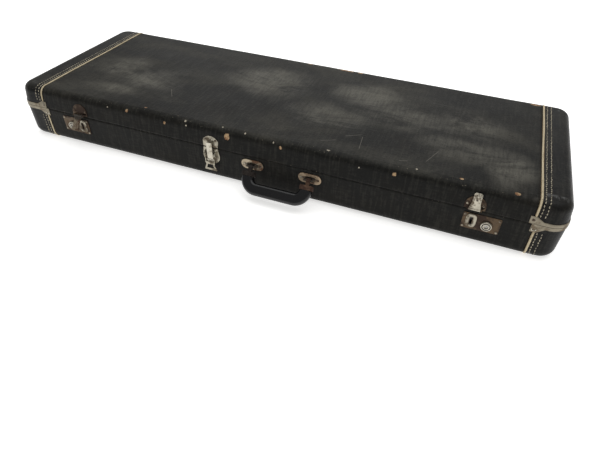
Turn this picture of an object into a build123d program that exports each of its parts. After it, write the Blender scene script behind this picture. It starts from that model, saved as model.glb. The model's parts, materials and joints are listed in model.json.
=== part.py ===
from build123d import *
import os
from math import atan, cos, degrees, sin

# Rectangular guitar case lying on its base, lid closed, front and handle towards -Y.
# The origin is the middle of the flat underside. Millimetres.

# Case body: both halves lean in away from the parting line
LENGTH = 1020.0
WIDTH = 350.0
HEIGHT = 107.0
PARTING = 68.0
RIM_GAP = 0.4
LID_SLOPE = 0.11
BASE_SLOPE = 0.05
CORNER_R = 29.0
BOTTOM_R = 17.0
TOP_R = 15.0
SKIN = 1.2
WALL_PLY = 8.0
PANEL_PLY = 5.0
LINING = 2.5
PANEL_EDGE = 32.0
LID_RIM = PARTING + RIM_GAP

# Piping, end bindings and the rim lip; distances along the case are from its middle
PIPING_AT = {
    "base": {"left": 449.0, "right": 464.0},
    "lid": {"left": 453.0, "right": 459.0},
}
PIPING_W = 4.0
PIPING_PROUD = 1.2
BINDING_T = 0.8
BINDING_BASE_H = 6.4
BINDING_LID_H = 5.8
TAB_INBOARD = 7.0
TAB_W = 9.5
TAB_SLOPE_W = 11.0
TAB_UP = 12.5
TAB_DOWN = 15.0
LIP_T = 2.5
LIP_H = 14.0
LIP_PROUD = 5.0
LID_THINNER = 1.2

# Hinges on the back
HINGE_X = (-330.0, 0.0, 330.0)
HINGE_W = 60.0
KNUCKLES = 5
KNUCKLE_R = 3.0
KNUCKLE_GAP = 0.3
HINGE_PIN_R = 1.4
HINGE_AXIS_OUT = 3.4
LEAF_T = 1.2
LEAF_H = 22.0
LEAF_FROM_RIM = 3.6
WEB_H = 5.0

# Key latches: plate, staple boss, sliding button
LOCK_X = {"left": -381.0, "right": 387.5}
LOCK_PLATE_W = 58.0
LOCK_PLATE_H = 31.0
LOCK_Z = 45.8
LOCK_RIVET_X = 26.0
LOCK_RIVET_Z = 12.0
CASE_W = 50.0
CASE_H = 26.0
CASE_DEPTH = 7.7
CASE_T = 0.8
BOSS_INBOARD = 15.5
BOSS_Z = 47.5
BOSS_W = 16.0
BOSS_H = 25.0
BOSS_T = 2.4
STAPLE_SLOT_W = 3.8
STAPLE_SLOT_H = 14.0
BUTTON_OUTBOARD = 9.0
BUTTON_Z = 43.6
BUTTON_R = 8.7
BUTTON_T = 2.6
BUTTON_TRAVEL = 5.0
STEM_R = 3.0
KEY_PLUG_R = 2.4
BOLT_T = 1.4
BOLT_H = 6.0
TONGUE_H = 4.0
PLATE_T = 1.0
FILM = 0.02

# Hasps and the round-topped plates that carry them
HASP_AXIS_Z = 72.0
HASP_AXIS_OUT = 5.0
HASP_LEN = 29.5
HASP_T = 1.4
HASP_BARREL_R = 1.9
HASP_BARREL_W = 17.4
HASP_REST = {"left": 40.0, "right": 182.0}
HASP_PLATE_HALF = 16.2
HASP_PLATE_TOP = 22.4
LUG_X = 10.1
LUG_W = 2.2

# Draw latch
DRAW_X = -85.0
LEVER_AXIS_Z = 57.0
LEVER_AXIS_OUT = 6.0
LEVER_HALF = 9.4
LEVER_END = 24.5
CHEEK_X = 8.7
CHEEK_T = 1.4
EAR_X = 10.6
EAR_T = 1.6
HOOK_AXIS_DROP = 11.0
HOOK_W = 11.0
HOOK_TOP = 79.5

# Handle
HANDLE_X = 49.0
HANDLE_SPACING = 107.0
HANDLE_Z = 52.0
HANDLE_AXIS_OUT = 6.5
HANDLE_DROP = 37.0
HANDLE_REST = 40.0
GRIP_W = 22.0
GRIP_T = 16.0
GRIP_BEND_R = 19.0
LEG_TOP = 17.0
PLATE_LEN = 41.5
PLATE_WID = 19.0
HANDLE_PLATE_T = 1.4
BAR_R = 1.8
POST_X = 7.5

# Interior
BODY_X = 290.0
NECK_W = 66.0
CUSHION_TOP = PARTING - 9.0
BOX_X = (-200.0, 60.0)
BOX_T = 4.0
FLOOR_Z = SKIN + PANEL_PLY + LINING
SLACK = 0.3

FAR = 600.0
BASE_TILT = atan(BASE_SLOPE)
LID_TILT = atan(LID_SLOPE)
FRONT = Plane(
    origin=(0, -WIDTH / 2 + BASE_SLOPE * PARTING, 0),
    x_dir=(1, 0, 0),
    z_dir=(0, -cos(BASE_TILT), -sin(BASE_TILT)),
)
LID_FRONT = Plane(
    origin=(0, -WIDTH / 2, LID_RIM), x_dir=(1, 0, 0), z_dir=(0, -cos(LID_TILT), sin(LID_TILT))
)
BACK = Plane(
    origin=(0, WIDTH / 2 - BASE_SLOPE * PARTING, 0),
    x_dir=(-1, 0, 0),
    z_dir=(0, cos(BASE_TILT), -sin(BASE_TILT)),
)
LID_BACK = Plane(
    origin=(0, WIDTH / 2, LID_RIM), x_dir=(-1, 0, 0), z_dir=(0, cos(LID_TILT), sin(LID_TILT))
)
UNDER_RIM = Plane(origin=(0, 0, PARTING), x_dir=(1, 0, 0), z_dir=(0, 0, -1))
ALL = (Align.CENTER, Align.CENTER, Align.CENTER)
FLOOR = (Align.CENTER, Align.CENTER, Align.MIN)
SIDES = {"left": -1, "right": 1}

nodes = {}


def save(name, shape):
    """Keep one named node for writing."""
    nodes[name] = shape


def add_to(name, shape):
    """Add one more like solid to a named group."""
    old = list(nodes[name].solids()) if name in nodes else []
    nodes[name] = Compound(children=old + list(shape.solids()))


def solids_of(shape):
    """One clean compound of the solids in a boolean result."""
    return Compound(children=[s for s in shape.solids() if s.volume > 0.01])


def block(x0, x1, y0, y1, z0, z1):
    """A plain block between two corners."""
    return Pos((x0 + x1) / 2, (y0 + y1) / 2, (z0 + z1) / 2) * Box(x1 - x0, y1 - y0, z1 - z0, align=ALL)


def slab(z0, z1):
    """Everything between two heights."""
    return block(-FAR, FAR, -FAR, FAR, z0, z1)


def base_block(inset, floor=None, top=PARTING):
    """The base's outline pushed in by inset, leaning in as it goes down, as a filled solid."""
    low = inset if floor is None else floor
    corner = max(CORNER_R - inset, 9.0)
    outline = RectangleRounded(LENGTH - 2 * inset, WIDTH - 2 * inset, corner)
    body = extrude(UNDER_RIM * outline, PARTING - low, taper=degrees(BASE_TILT))
    body = fillet(body.faces().sort_by(Axis.Z)[0].edges(), max(BOTTOM_R - inset, 4.0))
    return body if top == PARTING else body & slab(-FAR, top)


def lid_block(inset, roof=None):
    """The lid's outline pushed in by inset, leaning in as it rises, as a filled solid."""
    high = HEIGHT - inset if roof is None else roof
    corner = max(CORNER_R - inset, 9.0)
    outline = RectangleRounded(LENGTH - 2 * inset, WIDTH - 2 * inset, corner)
    body = extrude(Pos(0, 0, LID_RIM) * outline, high - LID_RIM, taper=degrees(LID_TILT))
    return fillet(body.faces().sort_by(Axis.Z)[-1].edges(), max(TOP_R - inset, 4.0))


def panel_block(z0, z1):
    """The rectangle that the flat panels fill inside the frames."""
    x = LENGTH / 2 - PANEL_EDGE
    y = WIDTH / 2 - PANEL_EDGE
    return block(-x, x, -y, y, z0, z1)


def centre_band(part):
    """Everything between the two pipings of the base or the lid."""
    left = -PIPING_AT[part]["left"] + PIPING_W / 2
    right = PIPING_AT[part]["right"] - PIPING_W / 2
    return block(left, right, -FAR, FAR, -FAR, FAR)


def end_zone(side, start, stop=FAR):
    """Everything between two distances from the middle, towards one end."""
    return block(min(side * start, side * stop), max(side * start, side * stop), -FAR, FAR, -FAR, FAR)


def piping_zone(part, end):
    """The narrow band that one piping fills."""
    at = PIPING_AT[part][end]
    return end_zone(SIDES[end], at - PIPING_W / 2, at + PIPING_W / 2)


# --- shells, coverings, piping --------------------------------------------------------------
def make_base_shell():
    outer = base_block(0)
    core = base_block(SKIN)
    hollow = base_block(SKIN + WALL_PLY, SKIN + PANEL_PLY)
    panel_zone = panel_block(-5, SKIN + PANEL_PLY)
    shell = core - hollow
    lip = make_lip()
    save("rim_lip", lip)
    save("base_frame", shell - panel_zone - lock_recesses(CASE_DEPTH + 0.3) - lip)
    save("base_panel", shell & panel_zone)
    skin = outer - core - lock_recesses(SKIN + 1)
    save("base_covering", skin & centre_band("base"))
    bead = base_block(-PIPING_PROUD, 0) - core
    tab_foot = PARTING - TAB_DOWN
    for end, side in SIDES.items():
        zone = piping_zone("base", end)
        save(f"base_end_cover_{end}", skin & end_zone(side, PIPING_AT["base"][end] + PIPING_W / 2))
        cord = (bead & zone) & slab(0, tab_foot)
        under_tab = ((outer - core) & zone) & slab(tab_foot, PARTING)
        save(f"base_piping_{end}", cord + under_tab)
        wrap = base_block(-BINDING_T, 0) - outer
        save(f"base_binding_{end}", binding(wrap, "base", end))
    lining = base_block(SKIN + WALL_PLY, SKIN + PANEL_PLY)
    lining -= base_block(SKIN + WALL_PLY + LINING, FLOOR_Z)
    save("base_lining", lining & slab(0, PARTING - LIP_H))


def binding(wrap, part, end):
    """The piece of a thin wrap that is a metal strip along the rim round one end. Its taller tab has
    a sloping outboard corner."""
    side = SIDES[end]
    way, rim, tab_h, strip_h = 1, LID_RIM, TAB_UP, BINDING_LID_H
    if part == "base":
        way, rim, tab_h, strip_h = -1, PARTING, TAB_DOWN, BINDING_BASE_H
    inner = PIPING_AT[part][end] - TAB_INBOARD
    tall = inner + TAB_W
    outer = tall + TAB_SLOPE_W
    outline = Polyline(
        (side * inner, rim), (side * inner, rim + way * tab_h), (side * tall, rim + way * tab_h),
        (side * outer, rim + way * strip_h), (side * FAR, rim + way * strip_h), (side * FAR, rim),
        close=True,
    )
    return wrap & extrude(Plane.XZ * make_face(outline), FAR, both=True)


def make_lip():
    """Thin ply strip let into the base's rim, which locates the lid."""
    inset = SKIN + WALL_PLY
    low = PARTING - LIP_H
    outer = RectangleRounded(LENGTH - 2 * inset, WIDTH - 2 * inset, CORNER_R - inset)
    inner_size = 2 * (inset + LIP_T)
    inner = RectangleRounded(LENGTH - inner_size, WIDTH - inner_size, CORNER_R - inset - LIP_T)
    return extrude(Pos(0, 0, low) * (outer - inner), LIP_H + LIP_PROUD)


def make_lid_shell():
    outer = lid_block(0)
    core = lid_block(SKIN)
    inset = SKIN + WALL_PLY - LID_THINNER
    ceiling = HEIGHT - SKIN - PANEL_PLY
    hollow = lid_block(inset, ceiling)
    panel_zone = panel_block(ceiling, HEIGHT + 5)
    shell = core - hollow
    save("lid_frame", shell - panel_zone)
    save("lid_panel", shell & panel_zone)
    skin = outer - core
    save("lid_covering", skin & centre_band("lid"))
    bead = lid_block(-PIPING_PROUD, HEIGHT + PIPING_PROUD) - core
    tab_top = LID_RIM + TAB_UP
    for end, side in SIDES.items():
        zone = piping_zone("lid", end)
        save(f"lid_end_cover_{end}", skin & end_zone(side, PIPING_AT["lid"][end] + PIPING_W / 2))
        cord = (bead & zone) & slab(tab_top, FAR)
        under_tab = (skin & zone) & slab(0, tab_top)
        save(f"lid_piping_{end}", cord + under_tab)
        wrap = lid_block(-BINDING_T, HEIGHT + BINDING_T) - outer
        save(f"lid_binding_{end}", binding(wrap, "lid", end))
    lining = lid_block(inset, ceiling)
    lining -= lid_block(inset + LINING, ceiling - LINING)
    save("lid_lining", lining & slab(PARTING + LIP_PROUD + 1.5, FAR))
    pad_margin = 22
    pad_t = 14
    pad = lid_block(inset + LINING + pad_margin, ceiling - LINING)
    save("lid_pad", pad & slab(ceiling - LINING - pad_t, FAR))


# --- interior -------------------------------------------------------------------------------
def guitar_outline():
    """Plan of the well: two bouts, a waist and a neck slot running to the head well."""
    lower = Pos(BODY_X + 55, 0) * Circle(142)
    upper = Pos(BODY_X - 85, 0) * Ellipse(88, 132)
    waist = Pos(BODY_X - 20, 0) * RectangleRounded(150, 240, 40)
    neck = Pos(-95, 0) * Rectangle(620, NECK_W)
    head = Pos(-436, 4) * RectangleRounded(110, 108, 26)
    return lower + upper + waist + neck + head


def inner_prism(top, clear=0.4):
    """The lined inside of the base up to a height, with a little room all round."""
    return base_block(SKIN + WALL_PLY + LINING + clear, FLOOR_Z + SLACK, top=top)


def make_interior():
    well = extrude(Pos(0, 0, FLOOR_Z - 5) * guitar_outline(), 100)
    inside = inner_prism(CUSHION_TOP)
    save("body_cushion", (inside - well) & block(BOX_X[1] + 1, FAR, -FAR, FAR, 0, FAR))
    save("head_cushion", (inside - well) & block(-FAR, BOX_X[0] - 1, -FAR, FAR, 0, FAR))
    save("neck_side_cushion", inside & block(*BOX_X, NECK_W / 2 + 1, FAR, 0, FAR))
    half = NECK_W / 2 - 0.5
    rest = block(-110, -40, -half, half, FLOOR_Z + SLACK, CUSHION_TOP - 14)
    groove = Pos(-75, 0, CUSHION_TOP + 8) * Rot(0, 90, 0) * Cylinder(30, 90)
    save("neck_rest", rest - groove)
    make_accessory_box()


def make_accessory_box():
    """Open ply box beside the neck, with a padded lid on a cloth hinge and a pull tab."""
    front = -WIDTH / 2 + SKIN + WALL_PLY + LINING + 4.0
    back = -NECK_W / 2 - 1
    floor = FLOOR_Z + SLACK
    outer = block(*BOX_X, front, back, floor, CUSHION_TOP - 4)
    hollow = block(BOX_X[0] + BOX_T, BOX_X[1] - BOX_T, front + BOX_T, back - BOX_T, floor + 3, FAR)
    save("accessory_box", (outer & inner_prism(CUSHION_TOP, 0.8)) - hollow)
    lid_z = CUSHION_TOP - 3.4
    lid_t = 4.0
    hinge_w = 7.0
    cover = block(*BOX_X, front + 1, back - hinge_w, lid_z, lid_z + lid_t)
    save("accessory_lid", fillet(cover.edges().filter_by(Axis.Z), 3))
    tape_z = lid_z - 0.15
    tape_y = back - hinge_w + 0.4
    save("accessory_hinge", block(BOX_X[0] + 10, BOX_X[1] - 10, tape_y, back, tape_z - 0.4, tape_z))
    middle = (BOX_X[0] + BOX_X[1]) / 2
    tab = block(middle - 9, middle + 9, front + 1, front + 26, lid_z + lid_t, lid_z + lid_t + 1.6)
    save("accessory_tab", fillet(tab.edges().filter_by(Axis.Z).sort_by(Axis.Y)[-2:], 8))


# --- hinges ---------------------------------------------------------------------------------
AXIS_Z = PARTING + RIM_GAP / 2
AXIS_Y = WIDTH / 2 + HINGE_AXIS_OUT


def knuckles(shares, x, z0, z1):
    """Some of a hinge's barrels, each with the web that joins it to its leaf between two heights."""
    pitch = HINGE_W / KNUCKLES
    half = (pitch - KNUCKLE_GAP) / 2
    parts = []
    for k in shares:
        middle = x - HINGE_W / 2 + pitch * (k + 0.5)
        barrel = Pos(middle, AXIS_Y, AXIS_Z) * Rot(0, 90, 0) * Cylinder(KNUCKLE_R, 2 * half)
        web = block(middle - half, middle + half, WIDTH / 2 + 0.05, AXIS_Y, z0, z1)
        parts.append(barrel + web)
    return parts


def make_hinges():
    lower, upper, pins = [], [], []
    for x in HINGE_X:
        bore = Pos(x, AXIS_Y, AXIS_Z) * Rot(0, 90, 0)
        clear = bore * Cylinder(HINGE_PIN_R + 0.05, HINGE_W + 2)
        leaf = BACK * Pos(-x, PARTING - LEAF_FROM_RIM - LEAF_H / 2, FILM)
        leaf = leaf * Box(HINGE_W, LEAF_H, LEAF_T, align=FLOOR)
        for part in knuckles((0, 2, 4), x, PARTING - WEB_H, AXIS_Z):
            leaf = leaf + part
        lower.append(leaf - clear)
        flap = LID_BACK * Pos(-x, LEAF_FROM_RIM + LEAF_H / 2, FILM)
        flap = flap * Box(HINGE_W, LEAF_H, LEAF_T, align=FLOOR)
        for part in knuckles((1, 3), x, AXIS_Z, LID_RIM + WEB_H):
            flap = flap + part
        upper.append(flap - clear - lid_block(0))
        pins.append(bore * Cylinder(HINGE_PIN_R, HINGE_W))
    save("hinge_lower_leaves", Compound(children=lower))
    save("hinge_upper_leaves", Compound(children=upper))
    save("hinge_pins", Compound(children=pins))


# --- key latches ----------------------------------------------------------------------------
def boss_x(name):
    return LOCK_X[name] - SIDES[name] * BOSS_INBOARD


def button_x(name):
    return LOCK_X[name] + SIDES[name] * BUTTON_OUTBOARD


def lock_recesses(depth):
    """Room for the two lock cases, to a depth under the front face."""
    room = 0.4
    recesses = None
    for name in SIDES:
        recess = FRONT * Pos(LOCK_X[name], LOCK_Z, 1 - depth / 2)
        recess = recess * Box(CASE_W + room, CASE_H + room, depth + 2)
        recesses = recess if recesses is None else recesses + recess
    return recesses


def make_lock_plate(name):
    """Plate with the raised oval boss, pierced for the staple and the button's stem."""
    centre = FRONT * Pos(LOCK_X[name], LOCK_Z, FILM)
    plate = extrude(centre * RectangleRounded(LOCK_PLATE_W, LOCK_PLATE_H, 2.0), PLATE_T)
    boss_place = FRONT * Pos(boss_x(name), BOSS_Z, FILM)
    plate = plate + extrude(boss_place * SlotOverall(BOSS_H, BOSS_W, rotation=90), BOSS_T)
    plate -= boss_place * Box(STAPLE_SLOT_W, STAPLE_SLOT_H, 4 * BOSS_T)
    middle = button_x(name) + SIDES[name] * BUTTON_TRAVEL / 2
    slot_r = STEM_R + 0.3
    stem_slot = SlotOverall(2 * slot_r + BUTTON_TRAVEL, 2 * slot_r)
    plate -= extrude(FRONT * Pos(middle, BUTTON_Z, -1) * stem_slot, 4 * PLATE_T)
    save(f"lock_plate_{name}", plate)


def make_lock_inside(name):
    """Open-fronted case behind the plate, the bolt carried by the stem, and its return spring."""
    side = SIDES[name]
    back = FRONT * Pos(LOCK_X[name], LOCK_Z, -CASE_DEPTH)
    case = back * Box(CASE_W, CASE_H, CASE_DEPTH, align=FLOOR)
    inner = back * Pos(0, 0, CASE_T) * Box(CASE_W - 2 * CASE_T, CASE_H - 2 * CASE_T, CASE_DEPTH, align=FLOOR)
    add_to("lock_cases", case - inner)

    bolt_depth = 3.8
    tongue_start = boss_x(name) + side * 2.4
    carrier_end = button_x(name) + side * 4.0
    carrier_start = button_x(name) - side * 4.0
    tongue = FRONT * Pos((tongue_start + carrier_end) / 2, BOSS_Z - 0.5, -bolt_depth)
    tongue = tongue * Box(abs(carrier_end - tongue_start), TONGUE_H, BOLT_T, align=FLOOR)
    carrier = FRONT * Pos((carrier_start + carrier_end) / 2, BUTTON_Z + 1, -bolt_depth)
    carrier = carrier * Box(abs(carrier_end - carrier_start), BOLT_H, BOLT_T, align=FLOOR)
    save(f"lock_bolt_{name}", tongue + carrier)

    spring_t = 0.6
    spring_x = LOCK_X[name] + side * (CASE_W / 2 - CASE_T - spring_t / 2 - 0.1)
    add_to("lock_springs", FRONT * Pos(spring_x, LOCK_Z - 2, -6.0) * Box(spring_t, 12.0, 4.4, align=FLOOR))


def make_lock_button(name):
    """Round sliding button with a raised ring, and the key plug that turns in it."""
    seat = button_x(name)
    face = PLATE_T + 0.3
    disc = extrude(FRONT * Pos(seat, BUTTON_Z, face) * Circle(BUTTON_R), BUTTON_T)
    disc = fillet(disc.faces().sort_by(Axis.Y)[0].edges(), 0.9)
    groove = Circle(6.6) - Circle(5.2)
    disc -= extrude(FRONT * Pos(seat, BUTTON_Z, face + BUTTON_T - 0.6) * groove, 2)
    disc = disc + extrude(FRONT * Pos(seat, BUTTON_Z, -2.4) * Circle(STEM_R), 4)
    disc -= extrude(FRONT * Pos(seat, BUTTON_Z, 0.4) * Circle(KEY_PLUG_R + 0.05), 10)
    save(f"lock_button_{name}", disc)

    plug_start = 0.5
    plug_end = face + BUTTON_T - 0.2
    plug = extrude(FRONT * Pos(seat, BUTTON_Z, plug_start) * Circle(KEY_PLUG_R), plug_end - plug_start)
    save(f"key_plug_{name}", plug - FRONT * Pos(seat, BUTTON_Z, plug_end) * Box(0.9, 3.0, 2.0))


def hasp_axis(name):
    """Middle of one hasp's pin."""
    return Pos(boss_x(name), -WIDTH / 2 - HASP_AXIS_OUT, HASP_AXIS_Z) * Rot(0, 90, 0)


def make_hasp_plate(name):
    """Round-topped plate on the lid's rim, with two lugs for the hasp's pin."""
    half = HASP_PLATE_HALF
    shoulder = 7.0
    arc = ThreePointArc((-half, shoulder), (0, HASP_PLATE_TOP), (half, shoulder))
    foot = Polyline((half, shoulder), (half, 0), (-half, 0), (-half, shoulder))
    plate = extrude(LID_FRONT * Pos(boss_x(name), 1.2, FILM) * make_face(arc + foot), PLATE_T)
    for end in (-1, 1):
        x = boss_x(name) + end * LUG_X
        lug = hasp_axis(name) * Pos(0, 0, end * LUG_X) * Cylinder(HASP_BARREL_R, LUG_W)
        y = -WIDTH / 2 - HASP_AXIS_OUT
        web = block(x - LUG_W / 2, x + LUG_W / 2, y, -WIDTH / 2 - 0.35, HASP_AXIS_Z - 1.8, HASP_AXIS_Z + 1.4)
        plate = plate + (lug + web - lid_block(0))
    save(f"hasp_plate_{name}", plate - hasp_axis(name) * Cylinder(1.0, 40))
    add_to("hasp_pins", hasp_axis(name) * Cylinder(0.95, 22.4))


def make_hasp(name):
    """Tapered hasp with its staple, turned up from its closed place by its angle of rest."""
    barrel = Rot(0, 90, 0) * Cylinder(HASP_BARREL_R, HASP_BARREL_W)
    wide, neck, tip = 8.7, 6.5, 6.2
    outline = Polyline(
        (-wide, 0), (-wide + 0.5, -4), (-neck, -11), (-tip, -HASP_LEN + 2), (-4.6, -HASP_LEN),
        (4.6, -HASP_LEN), (tip, -HASP_LEN + 2), (neck, -11), (wide - 0.5, -4), (wide, 0), close=True,
    )
    flat = Plane(origin=(0, 0, 0), x_dir=(1, 0, 0), z_dir=(0, -1, 0)) * Pos(0, 0, -0.3)
    tongue = extrude(flat * make_face(outline), HASP_T)
    drop = BOSS_Z - HASP_AXIS_Z
    staple = flat * Pos(0, drop, 0) * Box(2.6, 9.0, 7.4, align=(Align.CENTER, Align.CENTER, Align.MAX))
    eye = flat * Pos(0, drop - 0.5, -4.7) * Box(6, 5.0, 3.0)
    hasp = barrel + tongue + (staple - eye)
    hasp -= Rot(0, 90, 0) * Cylinder(1.0, 40)
    place = Pos(boss_x(name), -WIDTH / 2 - HASP_AXIS_OUT, HASP_AXIS_Z)
    save(f"hasp_{name}", place * Rot(-HASP_REST[name], 0, 0) * hasp)


# --- draw latch -----------------------------------------------------------------------------
def cross_bar(z, out, radius, length):
    """A round bar along the case's length, in front of the draw latch."""
    return FRONT * Pos(DRAW_X, z, out) * Rot(0, 90, 0) * Cylinder(radius, length)


def make_draw_catch():
    """Arch-topped shield on the lid with a turned-up lip for the hook."""
    half_top, half_foot, shoulder, top, foot = 15.2, 14.0, 12.0, 21.2, 0.8
    arch = ThreePointArc((-half_top, shoulder), (0, top), (half_top, shoulder))
    sides = Polyline((half_top, shoulder), (half_foot, foot), (-half_foot, foot), (-half_top, shoulder))
    catch = extrude(LID_FRONT * Pos(DRAW_X, 0, FILM) * make_face(arch + sides), PLATE_T)
    lip = LID_FRONT * Pos(DRAW_X, 9.0, PLATE_T - 0.05) * Box(9, 2.0, 2.4, align=FLOOR)
    lip_end = LID_FRONT * Pos(DRAW_X, 10.2, 2.4) * Box(9, 4.2, 1.0, align=FLOOR)
    save("draw_catch", catch + lip + lip_end)


def make_draw_plate():
    """Round-bottomed plate on the base with two ears and the stub pins of the lever."""
    top, widest, bottom, half_top, half = 67.0, 52.0, 34.5, 14.0, 16.5
    rim = Polyline((-half_top, top), (half_top, top), (half, widest))
    rim += ThreePointArc((half, widest), (0, bottom), (-half, widest))
    rim += Polyline((-half, widest), (-half_top, top))
    plate = extrude(FRONT * Pos(DRAW_X, 0, FILM) * make_face(rim), PLATE_T)
    stand = LEVER_AXIS_OUT - PLATE_T + 0.1
    for end in (-1, 1):
        x = DRAW_X + end * EAR_X
        ear = FRONT * Pos(x, LEVER_AXIS_Z - 1, PLATE_T - 0.1) * Box(EAR_T, 11, stand, align=FLOOR)
        knob = FRONT * Pos(x, LEVER_AXIS_Z, LEVER_AXIS_OUT) * Rot(0, 90, 0) * Cylinder(2.6, EAR_T)
        plate = plate + ear + knob
        pin = FRONT * Pos(DRAW_X + end * 9.9, LEVER_AXIS_Z, LEVER_AXIS_OUT) * Rot(0, 90, 0)
        add_to("draw_pins", pin * Cylinder(1.2, 3.8))
    save("draw_plate", plate - cross_bar(LEVER_AXIS_Z, LEVER_AXIS_OUT, 1.25, 60))


def make_draw_lever():
    """Two cheeks joined below by a flared face plate with a window, and the hook's pin."""
    lever = None
    cheek_h = 17.0
    for end in (-1, 1):
        x = DRAW_X + end * CHEEK_X
        eye = FRONT * Pos(x, LEVER_AXIS_Z, LEVER_AXIS_OUT) * Rot(0, 90, 0) * Cylinder(2.4, CHEEK_T)
        bar = FRONT * Pos(x, LEVER_AXIS_Z - cheek_h / 2, LEVER_AXIS_OUT - 1.6)
        bar = bar * Box(CHEEK_T, cheek_h, 4.2, align=FLOOR)
        lever = eye + bar if lever is None else lever + (eye + bar)
    waist, foot = 8.0, 12.0
    outline = Polyline(
        (-LEVER_HALF, 42), (LEVER_HALF, 42), (LEVER_HALF, 40), (waist, 36), (foot, LEVER_END + 1),
        (foot, LEVER_END), (-foot, LEVER_END), (-foot, LEVER_END + 1), (-waist, 36), (-LEVER_HALF, 40),
        close=True,
    )
    face = FRONT * Pos(DRAW_X, 0, LEVER_AXIS_OUT + 1.4)
    lever = lever + extrude(face * make_face(outline), 1.3)
    window = Polyline((-5, 37), (5, 37), (7.5, 28.5), (-7.5, 28.5), close=True)
    lever -= extrude(face * Pos(0, 0, -1.4) * make_face(window), 6)
    hook_z = LEVER_AXIS_Z - HOOK_AXIS_DROP
    hook_out = LEVER_AXIS_OUT - 0.2
    lever -= cross_bar(LEVER_AXIS_Z, LEVER_AXIS_OUT, 1.25, 60)
    save("draw_lever", lever - cross_bar(hook_z, hook_out, 0.95, 60))
    save("hook_pin", cross_bar(hook_z, hook_out, 0.9, 18.0))


def make_draw_hook():
    """Flat hook that swings on the lever's pin and reaches over the lid's catch."""
    hook_z = LEVER_AXIS_Z - HOOK_AXIS_DROP
    hook_out = LEVER_AXIS_OUT - 0.2
    length = HOOK_TOP - hook_z
    strap = FRONT * Pos(DRAW_X, hook_z + length / 2, LEVER_AXIS_OUT - 1.0)
    strap = strap * Box(HOOK_W, length, 1.2, align=FLOOR)
    nose = FRONT * Pos(DRAW_X, HOOK_TOP - 0.5, LEVER_AXIS_OUT - 1.6) * Box(HOOK_W, 3.2, 1.8, align=FLOOR)
    hook = cross_bar(hook_z, hook_out, 1.55, 14.6) + strap + nose
    save("draw_hook", hook - cross_bar(hook_z, hook_out, 0.95, 60))


# --- handle ---------------------------------------------------------------------------------
def handle_place(x):
    """Handle coordinates: origin on the pivot bar, hanging towards -Z, swung out to rest."""
    pivot = (FRONT * Pos(x, HANDLE_Z, HANDLE_AXIS_OUT)).position
    return Pos(*pivot) * Rot(-HANDLE_REST, 0, 0)


def make_handle_fittings(name):
    """Oval plate with a bridge bar, and the ferrule that hangs on the bar."""
    x = HANDLE_X + SIDES[name] * HANDLE_SPACING / 2
    plate = extrude(FRONT * Pos(x, HANDLE_Z, FILM) * SlotOverall(PLATE_LEN, PLATE_WID), HANDLE_PLATE_T)
    foot = HANDLE_PLATE_T - 0.1
    for end in (-1, 1):
        post = FRONT * Pos(x + end * POST_X, HANDLE_Z, foot)
        plate = plate + post * Box(3.0, 2 * BAR_R, HANDLE_AXIS_OUT - foot, align=FLOOR)
    bar = FRONT * Pos(x, HANDLE_Z, HANDLE_AXIS_OUT) * Rot(0, 90, 0)
    save(f"handle_plate_{name}", plate + bar * Cylinder(BAR_R, 2 * POST_X + 3.0))

    ring_w = 7.0
    ring = Rot(0, 90, 0) * Cylinder(3.6, ring_w)
    neck = Pos(0, 0, -6.4) * Box(ring_w, 5.0, 8.0)
    cap_h = 8.0
    cap = Pos(0, 0, -LEG_TOP + cap_h / 2) * Box(GRIP_W + 1.0, GRIP_T + 1.0, cap_h)
    cap = fillet(cap.edges().filter_by(Axis.Z), 4)
    loop = (ring + neck + cap) - Rot(0, 90, 0) * Cylinder(BAR_R + 0.08, 40)
    add_to("handle_loops", handle_place(x) * loop)


def make_grip():
    """Moulded grip: a rounded section carried down one leg, along the hand and up the other leg."""
    half = HANDLE_SPACING / 2
    path = FilletPolyline(
        (-half, 0, -LEG_TOP), (-half, 0, -HANDLE_DROP), (half, 0, -HANDLE_DROP), (half, 0, -LEG_TOP),
        radius=GRIP_BEND_R,
    )
    start = Plane(origin=(-half, 0, -LEG_TOP), x_dir=(1, 0, 0), z_dir=(0, 0, -1))
    grip = sweep(start * RectangleRounded(GRIP_W, GRIP_T, 6.5), path=path)
    save("handle_grip", handle_place(HANDLE_X) * grip)


# --- rivets ---------------------------------------------------------------------------------
def rivet(plane, x, v, out, radius=2.2):
    """One domed rivet head standing on a plate."""
    head = extrude(plane * Pos(x, v, out + FILM) * Circle(radius), 0.9)
    rim = head.edges().filter_by(GeomType.CIRCLE).sort_by_distance(plane.origin + plane.z_dir * FAR)
    return fillet(rim[0], 0.6)


def make_rivets():
    on_base, on_lid = [], []
    for name in SIDES:
        for dx in (-LOCK_RIVET_X, LOCK_RIVET_X):
            for dz in (-LOCK_RIVET_Z, LOCK_RIVET_Z):
                on_base.append(rivet(FRONT, LOCK_X[name] + dx, LOCK_Z + dz, PLATE_T, 2.0))
        for dx in (-12, 12):
            on_lid.append(rivet(LID_FRONT, boss_x(name) + dx, 9.4, PLATE_T))
        x = HANDLE_X + SIDES[name] * HANDLE_SPACING / 2
        for dx in (-15, 15):
            on_base.append(rivet(FRONT, x + dx, HANDLE_Z, HANDLE_PLATE_T, 2.6))
    for dx in (-10, 10):
        on_lid.append(rivet(LID_FRONT, DRAW_X + dx, 14, PLATE_T))
    on_base.append(rivet(FRONT, DRAW_X, 41.0, PLATE_T, 1.9))
    for x in HINGE_X:
        for dx in (-22, 0, 22):
            on_base.append(rivet(BACK, -(x + dx), PARTING - 15, LEAF_T))
            on_lid.append(rivet(LID_BACK, -(x + dx), 15, LEAF_T))
    save("base_rivets", Compound(children=on_base))
    save("lid_rivets", Compound(children=on_lid))


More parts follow.
